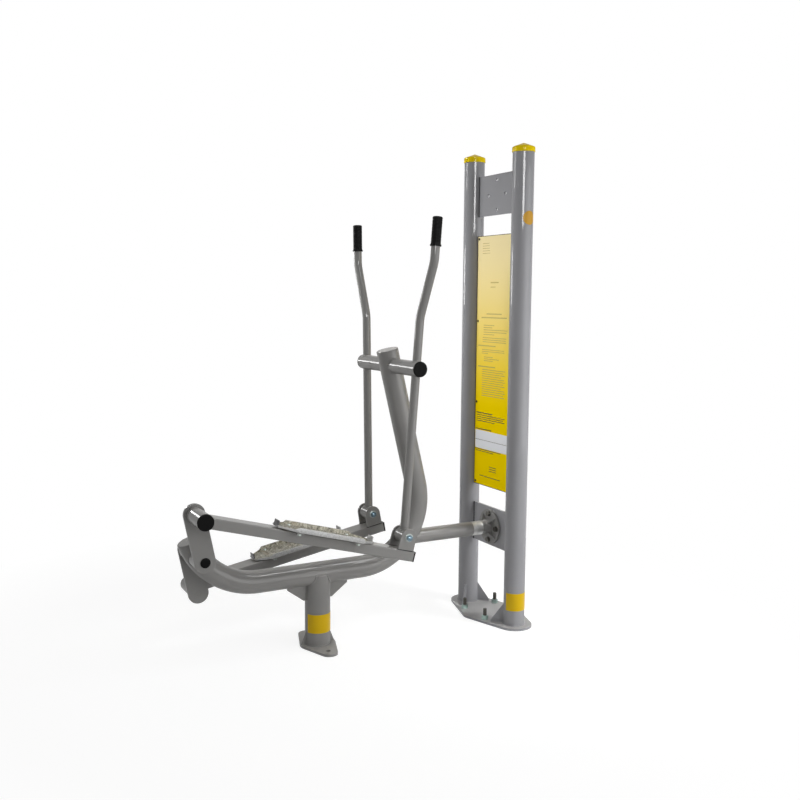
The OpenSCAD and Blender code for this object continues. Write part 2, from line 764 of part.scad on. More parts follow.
module arm_caps(side) color(plastic_black) on_arm(side) {
    plug_cap(side, arm_sleeve_to);
    translate([0, side*lever_y, 0]) {
        arm_box(arm_w, arm_h, arm_corner, arm_l, arm_l + arm_cap_t);
        arm_box(arm_w - 2*arm_wall - 2*seat, arm_h - 2*arm_wall - 2*seat, arm_corner/2,
            arm_l - arm_cap_plug, arm_l + arm_cap_t/2);
    }
}
module crank_pin(side) color(bare_steel) on_arm(side) {
    side_bar(side, pin_d, crank_y + slide, arm_sleeve_to - sleeve_plug - slide);
    side_bar(side, shoulder_d, crank_y + slide, crank_y + slide + shoulder_t);
}
module pin_bearings(side) color(bare_steel) on_arm(side) {
    bearing(side, pin_bearing, arm_sleeve_from + bearing_set);
    bearing(side, pin_bearing, arm_sleeve_to - sleeve_plug - bearing_set - pin_bearing[2]);
}

module ear() {
    linear_extrude(ear_t) difference() {
        union() {
            translate([0, arm_rise]) circle(r = ear_r);
            polygon([[-ear_base/2, arm_h/2], [ear_base/2, arm_h/2], [ear_r, arm_rise],
                [-ear_r, arm_rise]]);
        }
        translate([0, arm_rise]) circle(d = clevis_bolt_d + 2*fit);
    }
}
module clevis(side) color(frame_grey) on_arm(side) translate([arm_run, side*lever_y, 0])
    for (s = [-1, 1]) translate([0, s*(arm_w/2 - ear_t/2) + ear_t/2, 0]) rotate([90, 0, 0])
        ear();
module clevis_bolt(side) color(zinc) on_arm(side)
    translate([arm_run, side*lever_y, arm_rise]) {
        side_bar(1, clevis_bolt_d, -arm_w/2 - clevis_washer_t, arm_w/2 + clevis_washer_t);
        for (s = [-1, 1]) {
            side_bar(s, clevis_washer_d, arm_w/2, arm_w/2 + clevis_washer_t);
            side_hex(s, clevis_head_af, arm_w/2 + clevis_washer_t,
                arm_w/2 + clevis_washer_t + clevis_head_h);
        }
    }

// Foot plate: a tray with clipped ends and a raised rim
module tread_outline(inset) {
    l = tread_l/2 - inset;
    w = tread_w/2 - inset;
    tip = tread_tip_w/2 - inset*tan(45/2);
    clip = tread_l/2 - tread_clip - inset*tan(45/4);
    polygon([[l, tip], [clip, w], [-clip, w], [-l, tip], [-l, -tip], [-clip, -w], [clip, -w],
        [l, -tip]]);
}
module footplate(side) color(tread_silver) on_arm(side) difference() {
    translate([tread_mid, side*(lever_y + tread_y), arm_h/2 + bar_t]) difference() {
        linear_extrude(tread_h) tread_outline(0);
        translate([0, 0, tread_t]) linear_extrude(tread_h) tread_outline(tread_t);
    }
    translate([0, side*lever_y, 0]) tread_bolt_places(side) translate([0, 0, -over])
        cylinder(h = tread_t + 2*over, d = tread_bolt_d + 2*fit);
}
module footplate_bolts(side) color(zinc) on_arm(side) translate([0, side*lever_y, 0])
    tread_bolt_places(side) {
        translate([0, 0, -bar_t - tread_nut_h])
            cylinder(h = bar_t + tread_nut_h + tread_t, d = tread_bolt_d);
        translate([0, 0, tread_t])
            cylinder(h = tread_head_h, d1 = tread_head_d, d2 = tread_head_d - tread_head_h);
        translate([0, 0, -bar_t - tread_nut_h])
            cylinder(h = tread_nut_h, d = tread_nut_af*hex_share, $fn = 6);
    }

main_tube();
main_tube_caps();
column();
column_foot_plate();
column_gussets();
crank_hub();
hub_bearings();
cross_tube();
pivot_shaft();
link_tube();
link_spigot();
link_flange();
flange_bolts();
post(-1);  // right_post
post(1);  // left_post
post_caps();
stand_base_plate();
stand_gussets();
anchor_bolts();
upper_plate();
lower_plate();
board();
board_rails();
board_screws();
crank_axle();
crank_arm(-1);  // right_crank_arm
crank_arm(1);  // left_crank_arm
axle_caps();
crank_pin_ends();
lever(-1);  // right_lever
handlebar(-1);  // right_handlebar
lever_sleeve(-1);  // right_lever_sleeve
sleeve_cap(-1);  // right_sleeve_cap
lever_bearings(-1);  // right_lever_bearings
grip(-1);  // right_grip
lever(1);  // left_lever
handlebar(1);  // left_handlebar
lever_sleeve(1);  // left_lever_sleeve
sleeve_cap(1);  // left_sleeve_cap
lever_bearings(1);  // left_lever_bearings
grip(1);  // left_grip
pedal_arm(-1);  // right_pedal_arm
arm_sleeve(-1);  // right_arm_sleeve
arm_caps(-1);  // right_arm_caps
clevis(-1);  // right_clevis
clevis_bolt(-1);  // right_clevis_bolt
footplate(-1);  // right_footplate
footplate_bolts(-1);  // right_footplate_bolts
crank_pin(-1);  // right_crank_pin
pin_bearings(-1);  // right_pin_bearings
pedal_arm(1);  // left_pedal_arm
arm_sleeve(1);  // left_arm_sleeve
arm_caps(1);  // left_arm_caps
clevis(1);  // left_clevis
clevis_bolt(1);  // left_clevis_bolt
footplate(1);  // left_footplate
footplate_bolts(1);  // left_footplate_bolts
crank_pin(1);  // left_crank_pin
pin_bearings(1);  // left_pin_bearings
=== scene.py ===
"""Looks of an outdoor cross trainer on its twin-post stand.

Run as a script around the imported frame. Lengths are metres, X forward, Y to the user's left, Z up.
"""

import json
import math

import bpy
from bpy.props import FloatProperty, FloatVectorProperty, IntProperty, PointerProperty
from mathutils import Matrix, Vector


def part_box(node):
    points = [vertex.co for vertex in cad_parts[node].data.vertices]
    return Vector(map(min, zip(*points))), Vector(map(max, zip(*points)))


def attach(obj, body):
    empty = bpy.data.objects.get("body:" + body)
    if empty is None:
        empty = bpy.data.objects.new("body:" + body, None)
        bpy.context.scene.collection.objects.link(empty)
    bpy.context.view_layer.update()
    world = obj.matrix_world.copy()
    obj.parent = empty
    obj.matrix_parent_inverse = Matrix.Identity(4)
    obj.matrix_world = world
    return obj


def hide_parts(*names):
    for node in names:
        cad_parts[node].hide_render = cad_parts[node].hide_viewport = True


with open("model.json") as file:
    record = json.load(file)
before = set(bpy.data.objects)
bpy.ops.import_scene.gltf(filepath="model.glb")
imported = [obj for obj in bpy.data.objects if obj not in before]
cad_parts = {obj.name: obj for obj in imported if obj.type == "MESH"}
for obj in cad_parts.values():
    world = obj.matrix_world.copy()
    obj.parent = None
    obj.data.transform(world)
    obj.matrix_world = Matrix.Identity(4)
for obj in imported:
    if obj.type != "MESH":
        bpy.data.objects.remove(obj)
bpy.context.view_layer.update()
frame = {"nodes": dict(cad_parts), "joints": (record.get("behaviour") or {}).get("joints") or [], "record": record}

bl_info = {
    "name": "Outdoor cross trainer",
    "version": (1, 0, 0),
    "blender": (4, 5, 0),
    "location": "View3D > Sidebar > Trainer",
    "description": "Finishes, welds, treads, grips, fasteners and stage of an outdoor cross "
                   "trainer",
    "category": "Object",
}

NODES = frame["nodes"]
RECORD = frame["record"]
SLOTS = {part["node"]: part["material_slot"] for part in RECORD["subparts"]}
BODIES = {node: body for body, nodes in RECORD["behaviour"]["bodies"].items() for node in nodes}
HINGES = {joint["name"]: Vector(joint["pos_m"]) for joint in frame["joints"]}
PIVOT = HINGES["right_lever_swing"]
AXLE = HINGES["crank_spin"]
EYES = {side: HINGES[side + "_pedal_swing"] for side in ("right", "left")}
SIGNS = {"right": -1, "left": 1}
UP = Vector((0, 0, 1))

# Main tube: its level run, its two bends, the leaning mast and the crank's hub
MAIN_R = 0.04445
MAIN_Z = 0.295
REAR_RUN = 0.247
REAR_BEND_R = 0.285
FRONT_BEND_R = 0.260
MAST_LEAN = math.radians(13.8)
CORNER_X = PIVOT.x + (PIVOT.z - MAIN_Z) * math.tan(MAST_LEAN)
FRONT_RUN = CORNER_X - FRONT_BEND_R * math.tan((math.pi / 2 + MAST_LEAN) / 2)
HUB_R = 0.03805

# Column, link tube and stand
COLUMN_R = 0.0508
PLATE_Z = 0.010
LINK_R = 0.03015
LINK_Z = 0.392
STAND_X = 0.830
FLANGE_X = STAND_X - 0.014
POST_R = 0.04445
POST_Y = 0.180
ANCHOR_REACH = 0.080

# Levers with their sleeves and grips. The Y values are distances from the middle plane.
SLEEVE_R = 0.03015
LEVER_SLEEVE_Y = 0.240
LEVER_Y = 0.211
LEVER_R = 0.01685
LEVER_DROP = 0.652
EYE_R = 0.029
GRIP_Y = 0.288
GRIP_TOP = 0.5769

# Pedal arms, from the crank pin to the clevis, and the crank
ARM_RUN = 0.811
ARM_RISE = 0.070
ARM_H = 0.040
ARM_W = 0.080
ARM_SLEEVE_Y = 0.246
ARM_END = ARM_RUN + 0.0443
EAR_T = 0.008
EAR_HALF = 0.035
TREAD_X = 0.467
TREAD_Y = LEVER_Y + 0.007
TREAD_Z = ARM_H / 2 + 0.005
CRANK_Y = 0.103
AXLE_Y = 0.115


def centre_of(node):
    """Middle of a CAD node's box."""
    low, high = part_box(node)
    return (low + high) / 2


# Materials


def linear(code):
    """An sRGB hex colour as linear RGBA."""
    parts = [int(code[i:i + 2], 16) / 255 for i in (1, 3, 5)]
    parts = [c / 12.92 if c <= 0.04045 else ((c + 0.055) / 1.055) ** 2.4 for c in parts]
    return (*parts, 1.0)


def scaled(colour, factor):
    """A colour made darker or paler."""
    return [min(1, c * factor) for c in colour[:3]] + [1]


def put(tree, kind, settings=None, links=None):
    """Adds a node, sets its properties and inputs, and links its inputs to other nodes' outputs."""
    made = tree.nodes.new(kind)
    for key, value in (settings or {}).items():
        if isinstance(key, str) and key in made.bl_rna.properties:
            setattr(made, key, value)
        else:
            made.inputs[key].default_value = value
    for key, source in (links or {}).items():
        tree.links.new(source, made.inputs[key])
    return made


def fresh_material(name):
    """An empty node material, its tree and its Object coordinates."""
    material = bpy.data.materials.new(name)
    material.use_nodes = True
    tree = material.node_tree
    tree.nodes.clear()
    return material, tree, put(tree, "ShaderNodeTexCoord").outputs["Object"]


def surfaced(material, settings, links):
    """The material with its shader and output."""
    tree = material.node_tree
    shader = put(tree, "ShaderNodeBsdfPrincipled", settings, links)
    put(tree, "ShaderNodeOutputMaterial", None, {"Surface": shader.outputs["BSDF"]})
    return material


def powder_coated_steel(name, colour, roughness=0.36, coat=0.45, dust_and_top_light=0.4):
    """Steel sprayed with polyester powder and baked: an even silver grey with a clear sheen and a
    faint orange peel. Faces that look up are painted paler, a painted light from above."""
    material, tree, place = fresh_material(name)
    # Clouds 140 mm across, where the coat is thicker or thinner
    clouds = put(tree, "ShaderNodeTexNoise", {"Scale": 7.0, "Detail": 3.0}, {"Vector": place})
    tone = put(tree, "ShaderNodeMix", {"data_type": "RGBA", "A": scaled(colour, 0.94),
                                       "B": scaled(colour, 1.05)},
               {"Factor": clouds.outputs["Fac"]})
    # Painted top light: faces that look up are mixed towards pale grey, as though lit from above
    slope = put(tree, "ShaderNodeSeparateXYZ", None,
                {"Vector": put(tree, "ShaderNodeNewGeometry").outputs["Normal"]})
    film = put(tree, "ShaderNodeMapRange", {"From Min": 0.8, "From Max": 1.0, "To Max": dust_and_top_light},
               {"Value": slope.outputs["Z"]})
    top_lit_tone = put(tree, "ShaderNodeMix", {"data_type": "RGBA", "B": linear("#d0cdc8")},
                {"Factor": film.outputs["Result"], "A": tone.outputs["Result"]})
    # The peel is drawn 2.2 mm wide, coarser than the real 1 mm, so that it shows
    peel = put(tree, "ShaderNodeTexNoise", {"Scale": 1 / 0.0022, "Detail": 1.0}, {"Vector": place})
    bump = put(tree, "ShaderNodeBump", {"Strength": 0.03, "Distance": 0.00006},
               {"Height": peel.outputs["Fac"]})
    sheen = put(tree, "ShaderNodeMapRange",
                {"To Min": roughness - 0.05, "To Max": roughness + 0.07},
                {"Value": clouds.outputs["Fac"]})
    return surfaced(material, {"Specular IOR Level": 0.01, "Coat Weight": coat,
                               "Coat Roughness": 0.05},
                    {"Base Color": top_lit_tone.outputs["Result"], "Roughness": sheen.outputs["Result"],
                     "Normal": bump.outputs["Normal"]})


def plated_steel(name, colour, tint, roughness=0.34):
    """Steel bolts plated with zinc and passivated: bright metal with a tint that drifts over
    12 mm and dull handling marks 4 mm wide."""
    material, tree, place = fresh_material(name)
    drift = put(tree, "ShaderNodeTexNoise", {"Scale": 1 / 0.012, "Detail": 2.0}, {"Vector": place})
    shade = put(tree, "ShaderNodeMix", {"data_type": "RGBA", "A": colour, "B": tint},
                {"Factor": drift.outputs["Fac"]})
    marks = put(tree, "ShaderNodeTexNoise", {"Scale": 1 / 0.004, "Detail": 4.0}, {"Vector": place})
    dull = put(tree, "ShaderNodeMapRange", {"To Min": roughness - 0.1, "To Max": roughness + 0.16},
               {"Value": marks.outputs["Fac"]})
    return surfaced(material, {"Metallic": 1.0}, {"Base Color": shade.outputs["Result"],
                                                  "Roughness": dull.outputs["Result"]})


def turned_steel(name, colour):
    """Bare steel turned on a lathe: bright, with fine rings along X and stains 22 mm across. The
    rings are drawn at 4 mm, coarser than the real feed, so that they show."""
    material, tree, place = fresh_material(name)
    rings = put(tree, "ShaderNodeTexWave",
                {"wave_type": "BANDS", "bands_direction": "X", "Scale": math.pi / 10 / 0.004,
                 "Distortion": 0.4, "Detail": 1.0}, {"Vector": place})
    bump = put(tree, "ShaderNodeBump", {"Strength": 0.5, "Distance": 0.0003},
               {"Height": rings.outputs["Fac"]})
    stain = put(tree, "ShaderNodeTexNoise", {"Scale": 45.0, "Detail": 5.0}, {"Vector": place})
    dull = put(tree, "ShaderNodeMapRange", {"To Min": 0.22, "To Max": 0.5},
               {"Value": stain.outputs["Fac"]})
    shade = put(tree, "ShaderNodeMix", {"data_type": "RGBA", "A": colour, "B": scaled(colour, 0.4)},
                {"Factor": stain.outputs["Fac"]})
    return surfaced(material, {"Metallic": 1.0},
                    {"Base Color": shade.outputs["Result"], "Roughness": dull.outputs["Result"],
                     "Normal": bump.outputs["Normal"]})


def moulded_plastic(name, colour, roughness=0.42):
    """Black polyethylene or rubber from a mould: nearly even, with a spark-eroded grain of 1.1 mm
    and wear in patches 17 mm across."""
    material, tree, place = fresh_material(name)
    grit = put(tree, "ShaderNodeTexNoise", {"Scale": 1 / 0.0011, "Detail": 2.0}, {"Vector": place})
    bump = put(tree, "ShaderNodeBump", {"Strength": 0.4, "Distance": 0.0001},
               {"Height": grit.outputs["Fac"]})
    wear = put(tree, "ShaderNodeTexNoise", {"Scale": 60.0, "Detail": 3.0}, {"Vector": place})
    shade = put(tree, "ShaderNodeMix", {"data_type": "RGBA", "A": colour, "B": scaled(colour, 1.5)},
                {"Factor": wear.outputs["Fac"]})
    dull = put(tree, "ShaderNodeMapRange", {"To Min": roughness - 0.05, "To Max": roughness + 0.1},
               {"Value": wear.outputs["Fac"]})
    return surfaced(material, {"Specular IOR Level": 0.05},
                    {"Base Color": shade.outputs["Result"], "Roughness": dull.outputs["Result"],
                     "Normal": bump.outputs["Normal"]})


def printed_board(name, low, high, cut_edge_colour, bottom, top):
    """Printed plastic sheet: a yellow print painted paler towards the top, a painted glare, under a
    smooth laminate with waves 110 mm long, with its cut edges drawn in a dark colour."""
    material, tree, place = fresh_material(name)
    split = put(tree, "ShaderNodeSeparateXYZ", None, {"Vector": place})
    # Painted glare: the print is mixed towards the paler colour from 335 mm above the board's foot upwards
    height = put(tree, "ShaderNodeMapRange", {"interpolation_type": "SMOOTHSTEP",
                                              "From Min": bottom + 0.335, "From Max": top + 0.05},
                 {"Value": split.outputs["Z"]})
    glare_fade = put(tree, "ShaderNodeMix", {"data_type": "RGBA", "A": low, "B": high},
               {"Factor": height.outputs["Result"]})
    # The cut edges, whose faces do not look along X, are drawn in the dark edge colour
    facing = put(tree, "ShaderNodeSeparateXYZ", None,
                 {"Vector": put(tree, "ShaderNodeNewGeometry").outputs["Normal"]})
    flat = put(tree, "ShaderNodeMath", {"operation": "ABSOLUTE"}, {0: facing.outputs["X"]})
    side = put(tree, "ShaderNodeMath", {"operation": "LESS_THAN", 1: 0.5}, {0: flat.outputs[0]})
    sheet = put(tree, "ShaderNodeMix", {"data_type": "RGBA", "B": cut_edge_colour},
                {"Factor": side.outputs[0], "A": glare_fade.outputs["Result"]})
    ripple = put(tree, "ShaderNodeTexNoise", {"Scale": 9.0, "Detail": 1.0}, {"Vector": place})
    bump = put(tree, "ShaderNodeBump", {"Strength": 0.12, "Distance": 0.0006},
               {"Height": ripple.outputs["Fac"]})
    return surfaced(material, {"Roughness": 0.45, "Specular IOR Level": 0.0},
                    {"Base Color": sheet.outputs["Result"], "Normal": bump.outputs["Normal"]})


def printed_ink(name, colour, roughness):
    """Ink or film on a sheet: an even colour with a faint print grain of 2.5 mm."""
    material, tree, place = fresh_material(name)
    grain = put(tree, "ShaderNodeTexNoise", {"Scale": 1 / 0.0025, "Detail": 2.0}, {"Vector": place})
    shade = put(tree, "ShaderNodeMix", {"data_type": "RGBA", "A": scaled(colour, 0.94),
                                        "B": colour}, {"Factor": grain.outputs["Fac"]})
    return surfaced(material, {"Roughness": roughness, "Specular IOR Level": 0.2},
                    {"Base Color": shade.outputs["Result"]})


def pressed_aluminium(name, pale, dark, brown, blotch=0.015):
    """Pressed aluminium sheet that has weathered outdoors: dull, mottled with pale bloom in
    blotches and with a little brown dust in patches 45 mm across."""
    material, tree, place = fresh_material(name)
    blotches = put(tree, "ShaderNodeTexNoise", {"Scale": 1 / blotch, "Detail": 6.0,
                                                "Roughness": 0.65, "Distortion": 1.2},
                   {"Vector": place})
    ramp = put(tree, "ShaderNodeValToRGB", None, {"Fac": blotches.outputs["Fac"]})
    for stop, position, colour in zip(ramp.color_ramp.elements, (0.36, 0.62), (dark, pale)):
        stop.position, stop.color = position, colour
    dust_and_top_light = put(tree, "ShaderNodeTexNoise", {"Scale": 22.0, "Detail": 4.0}, {"Vector": place})
    spread = put(tree, "ShaderNodeMapRange", {"From Min": 0.56, "From Max": 0.8},
                 {"Value": dust_and_top_light.outputs["Fac"]})
    shade = put(tree, "ShaderNodeMix", {"data_type": "RGBA", "B": brown},
                {"Factor": spread.outputs["Result"], "A": ramp.outputs["Color"]})
    bump = put(tree, "ShaderNodeBump", {"Strength": 0.5, "Distance": 0.0005},
               {"Height": blotches.outputs["Fac"]})
    return surfaced(material, {"Metallic": 0.35, "Roughness": 0.5},
                    {"Base Color": shade.outputs["Result"], "Normal": bump.outputs["Normal"]})


# Modelling


def settle():
    """Object mode with nothing selected."""
    if bpy.context.object and bpy.context.object.mode != "OBJECT":
        bpy.ops.object.mode_set(mode="OBJECT")
    bpy.ops.object.select_all(action="DESELECT")


def choose(*pieces):
    """Selects these objects alone, the first one active."""
    settle()
    for piece in pieces:
        piece.select_set(True)
    bpy.context.view_layer.objects.active = pieces[0]


def edit_all():
    """Edit mode with the whole mesh selected."""
    bpy.ops.object.mode_set(mode="EDIT")
    bpy.ops.mesh.select_all(action="SELECT")


def named(name):
    """The active object, with its new name and its place moved into its mesh."""
    piece = bpy.context.object
    piece.name = piece.data.name = name
    bpy.ops.object.transform_apply(location=True, rotation=True, scale=True)
    return piece


def applied(piece, kind, **settings):
    """The active piece with a modifier applied."""
    modifier = piece.modifiers.new(kind.lower(), kind)
    for key, value in settings.items():
        setattr(modifier, key, value)
    bpy.ops.object.modifier_apply(modifier=modifier.name)
    return piece


def joined(name, pieces):
    """Several pieces made one."""
    choose(*pieces)
    if len(pieces) > 1:
        bpy.ops.object.join()
    piece = bpy.context.object
    piece.name = piece.data.name = name
    return piece


def finished(piece, material, body, slot, *nodes, angle=35):
    """Gives a piece its material, smooth shading and body, and hides the CAD nodes it stands for.
    The record slot is not used."""
    if not piece.data.materials:
        piece.data.materials.append(material)
    choose(piece)
    bpy.ops.object.shade_smooth_by_angle(angle=math.radians(angle))
    settle()
    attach(piece, body)
    if nodes:
        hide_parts(*nodes)


def at(x, y, z):
    """Matrix that moves by x, y and z."""
    return Matrix.Translation((x, y, z))


def toward(x, y, z):
    """Matrix that turns Z to a direction."""
    return Vector((x, y, z)).to_track_quat("Z", "Y").to_matrix().to_4x4()


def moved(piece, matrix):
    """The piece, moved by a matrix inside its mesh."""
    piece.data.transform(matrix)
    if matrix.determinant() < 0:
        piece.data.flip_normals()
    return piece


def copied(piece, name, matrix):
    """A copy with its own mesh, moved by a matrix inside the mesh."""
    twin = piece.copy()
    twin.data = piece.data.copy()
    twin.name = twin.data.name = name
    bpy.context.collection.objects.link(twin)
    return moved(twin, matrix)


def repeated(piece, name, places):
    """One piece made of a copy of a shape at each place. The shape itself is removed."""
    row = [copied(piece, "copy", place) for place in places]
    bpy.data.objects.remove(piece)
    return joined(name, row)


def turned(name, profile, steps=48):
    """A solid of revolution about Z: a profile of (radius, height) points is drawn by extrusion
    from one vertex and spun."""
    settle()
    bpy.ops.mesh.primitive_plane_add(size=0.01)
    edit_all()
    bpy.ops.mesh.merge(type="CENTER")
    start = profile[0]
    bpy.ops.transform.translate(value=(start[0], 0, start[1]))
    for before, after in zip(profile, profile[1:]):
        bpy.ops.mesh.extrude_vertices_move(
            TRANSFORM_OT_translate={"value": (after[0] - before[0], 0, after[1] - before[1])})
    bpy.ops.mesh.select_all(action="SELECT")
    bpy.ops.mesh.spin(steps=steps, angle=2 * math.pi, center=(0, 0, 0), axis=(0, 0, 1))
    bpy.ops.mesh.select_all(action="SELECT")
    bpy.ops.mesh.remove_doubles(threshold=0.00001)
    bpy.ops.mesh.normals_make_consistent(inside=False)
    bpy.ops.object.mode_set(mode="OBJECT")
    return named(name)


def rounded(profile, radius, steps=3):
    """A profile with its inner corners rounded, its two end points kept."""
    line = [profile[0]]
    for before, corner, after in zip(profile, profile[1:], profile[2:]):
        a, c, b = Vector(before), Vector(corner), Vector(after)
        first, second = a - c, b - c
        size = min(radius, first.length * 0.45, second.length * 0.45)
        first, second = c + first.normalized() * size, c + second.normalized() * size
        for i in range(steps + 1):
            t = i / steps
            point = first.lerp(c, t).lerp(c.lerp(second, t), t)
            line.append((point.x, point.y))
    line.append(profile[-1])
    return line


def nut(name, across, height):
    """A hexagon with its corners cut back to a cone at both ends."""
    settle()
    bpy.ops.mesh.primitive_cylinder_add(vertices=6, radius=across / 2 / math.cos(math.pi / 6),
                                        depth=height, location=(0, 0, height / 2))
    piece = named(name)
    edit_all()
    bpy.ops.mesh.bevel(offset=across * 0.07, affect="VERTICES", segments=3)
    bpy.ops.object.mode_set(mode="OBJECT")
    return piece


def washer(name, outer, thick):
    """A flat ring with rounded edges, closed in the middle because a bolt fills it."""
    return turned(name, rounded([(0, 0), (outer, 0), (outer, thick), (0, thick)], thick * 0.3))


def thread(name, radius, length, pitch):
    """A threaded rod end: ridges at the thread's pitch and a chamfered tip."""
    line = [(0, 0), (radius, 0)]
    for i in range(max(2, int(length / pitch) - 1)):
        line += [(radius, pitch * (i + 0.15)), (radius - pitch * 0.45, pitch * (i + 0.5)),
                 (radius, pitch * (i + 0.85))]
    line += [(radius, length - radius * 0.2), (radius * 0.8, length), (0, length)]
    return turned(name, line, 32)


def wrapped(piece, centre, radius, facing):
    """Bends a flat piece in the plane of X and Y round an upright tube, its X along the tube's
    girth and its Y upwards, and gives it the thickness of a film."""
    film = 0.0004
    for vertex in piece.data.vertices:
        turn = facing + vertex.co.x / radius
        lift = radius + film + vertex.co.z
        vertex.co = (centre[0] + lift * math.cos(turn), centre[1] + lift * math.sin(turn),
                     centre[2] + vertex.co.y)
    choose(piece)
    return applied(piece, "SOLIDIFY", thickness=film, offset=1.0)


def softened(node, width):
    """A copy of a CAD piece with its sharp edges rounded, which stands for it."""
    piece = copied(NODES[node], node + "_edged", Matrix())
    choose(piece)
    edit_all()
    bpy.ops.mesh.remove_doubles(threshold=0.00002)
    bpy.ops.mesh.dissolve_limited(angle_limit=math.radians(1))
    bpy.ops.object.mode_set(mode="OBJECT")
    return applied(piece, "BEVEL", width=width, segments=2, limit_method="ANGLE",
                   angle_limit=math.radians(40), miter_outer="MITER_ARC")


# Places on the machine and welds


def lever_frame(side):
    """Matrix of a lever: Z along its tube, origin on the pivot."""
    drop = PIVOT - EYES[side]
    return at(PIVOT.x, 0, PIVOT.z) @ Matrix.Rotation(math.atan2(drop.x, drop.z), 4, "Y")


def arm_frame(side):
    """Matrix of a pedal arm: X along it, origin on the crank pin."""
    pin = centre_of(side + "_crank_pin")
    reach = EYES[side] - pin
    turn = math.atan2(reach.z, reach.x) - math.atan2(ARM_RISE, ARM_RUN)
    return at(pin.x, 0, pin.z) @ Matrix.Rotation(-turn, 4, "Y")


def along(points, step, closed):
    """Points at even steps along a line of points."""
    line = [Vector(p) for p in points]
    if closed:
        line.append(line[0])
    lengths = [0.0]
    for a, b in zip(line, line[1:]):
        lengths.append(lengths[-1] + (b - a).length)
    count = max(4, int(lengths[-1] / step))
    made, k = [], 0
    for i in range(count if closed else count + 1):
        goal = lengths[-1] * i / count
        while k < len(line) - 2 and lengths[k + 1] < goal:
            k += 1
        span = lengths[k + 1] - lengths[k]
        made.append(line[k].lerp(line[k + 1], (goal - lengths[k]) / span if span > 0 else 0))
    return made


def weld(points, radius, closed=True):
    """A weld bead through points 2.6 mm apart on a line, its ripples made by swelling every
    other one."""
    spots = along(points, 0.0026, closed)
    curve = bpy.data.curves.new("weld", "CURVE")
    curve.dimensions = "3D"
    curve.bevel_depth = radius
    curve.bevel_resolution = 1
    curve.use_fill_caps = True
    spline = curve.splines.new("POLY")
    spline.points.add(len(spots) - 1)
    for i, (point, spot) in enumerate(zip(spline.points, spots)):
        point.co = (*spot, 1)
        point.radius = 1.0 if i % 2 else 0.82
    spline.use_cyclic_u = closed
    piece = bpy.data.objects.new("weld", curve)
    bpy.context.collection.objects.link(piece)
    choose(piece)
    bpy.ops.object.convert(target="MESH")
    return bpy.context.object


def circle(radius, count=72):
    """Points of a circle about nought, as pairs."""
    turns = [2 * math.pi * i / count for i in range(count)]
    return [(radius * math.cos(turn), radius * math.sin(turn)) for turn in turns]


def ring(centre, axis, radius):
    """Points of a circle about an axis, X, Y or Z."""
    return [Vector(centre) + Vector({"X": (0, c, s), "Y": (c, 0, s), "Z": (c, s, 0)}[axis])
            for c, s in circle(radius)]


def main_tube_half(x, z):
    """Half width in Y of the main tube's surface at a point of the middle plane."""
    rear = Vector((-REAR_RUN, MAIN_Z + REAR_BEND_R))
    front = Vector((FRONT_RUN, MAIN_Z + FRONT_BEND_R))
    if x < -REAR_RUN:
        off = (Vector((x, z)) - rear).length - REAR_BEND_R
    elif x < FRONT_RUN:
        off = z - MAIN_Z
    elif z > MAIN_Z + FRONT_BEND_R + FRONT_BEND_R * math.sin(MAST_LEAN):
        up = Vector((-math.sin(MAST_LEAN), math.cos(MAST_LEAN)))
        reach = Vector((x, z)) - Vector((PIVOT.x, PIVOT.z))
        off = reach.x * up.y - reach.y * up.x
    else:
        off = (Vector((x, z)) - front).length - FRONT_BEND_R
    return math.sqrt(max(0, MAIN_R ** 2 - off ** 2))


def tube_through_main(centre, radius, sign):
    """The line where a tube along Y comes out of the main tube on one side."""
    spots = [(centre.x + x, centre.z + z) for x, z in circle(radius)]
    return [(x, sign * main_tube_half(x, z), z) for x, z in spots]


def gusset_beads(corner, out, radius, run, rise, half):
    """Four open beads from a gusset's corner: on each face, half its thickness from its middle,
    one outwards by run and one up by rise, or down where rise is negative."""
    beads = []
    for side in (-half, half):
        start = Vector(corner) + UP.cross(out) * side
        for end in (start + out * run, start + UP * rise):
            beads.append(weld([start, end], radius, False))
    return beads


def machine_beads(r):
    """Beads round the column, the hub, the cross tube and the link tube, and at the column's
    gussets."""
    column_top = []
    for x, y in circle(COLUMN_R, 144):
        reach = max(-MAIN_R, min(MAIN_R, y))
        column_top.append((x, reach, MAIN_Z - math.sqrt(max(0, MAIN_R ** 2 - reach ** 2))))
    beads = [weld(ring((0, 0, PLATE_Z), "Z", COLUMN_R), r), weld(column_top, r)]
    for sign in (-1, 1):
        beads.append(weld(tube_through_main(AXLE, HUB_R, sign), r))
        beads.append(weld(tube_through_main(PIVOT, SLEEVE_R, sign), r * 0.9))
    link_end = []
    for y, rise in circle(LINK_R):
        z = LINK_Z + rise
        reach = FRONT_BEND_R + math.sqrt(MAIN_R ** 2 - y ** 2)
        drop = z - MAIN_Z - FRONT_BEND_R
        link_end.append((FRONT_RUN + math.sqrt(reach ** 2 - drop ** 2), y, z))
    beads.append(weld(link_end, r))
    beads.append(weld(ring((FLANGE_X, 0, LINK_Z), "X", LINK_R), r * 0.9))
    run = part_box("column_gussets")[1].x - COLUMN_R
    for way in (-1, 1):
        out = Vector((way, 0, 0))
        beads += gusset_beads((way * COLUMN_R, 0, MAIN_Z - MAIN_R), out, r * 0.8, run=run,
                              rise=-0.060, half=0.004)
        beads += gusset_beads((way * COLUMN_R, 0, PLATE_Z), out, r * 0.7, run=0.020, rise=0.050,
                              half=0.003)
    return beads


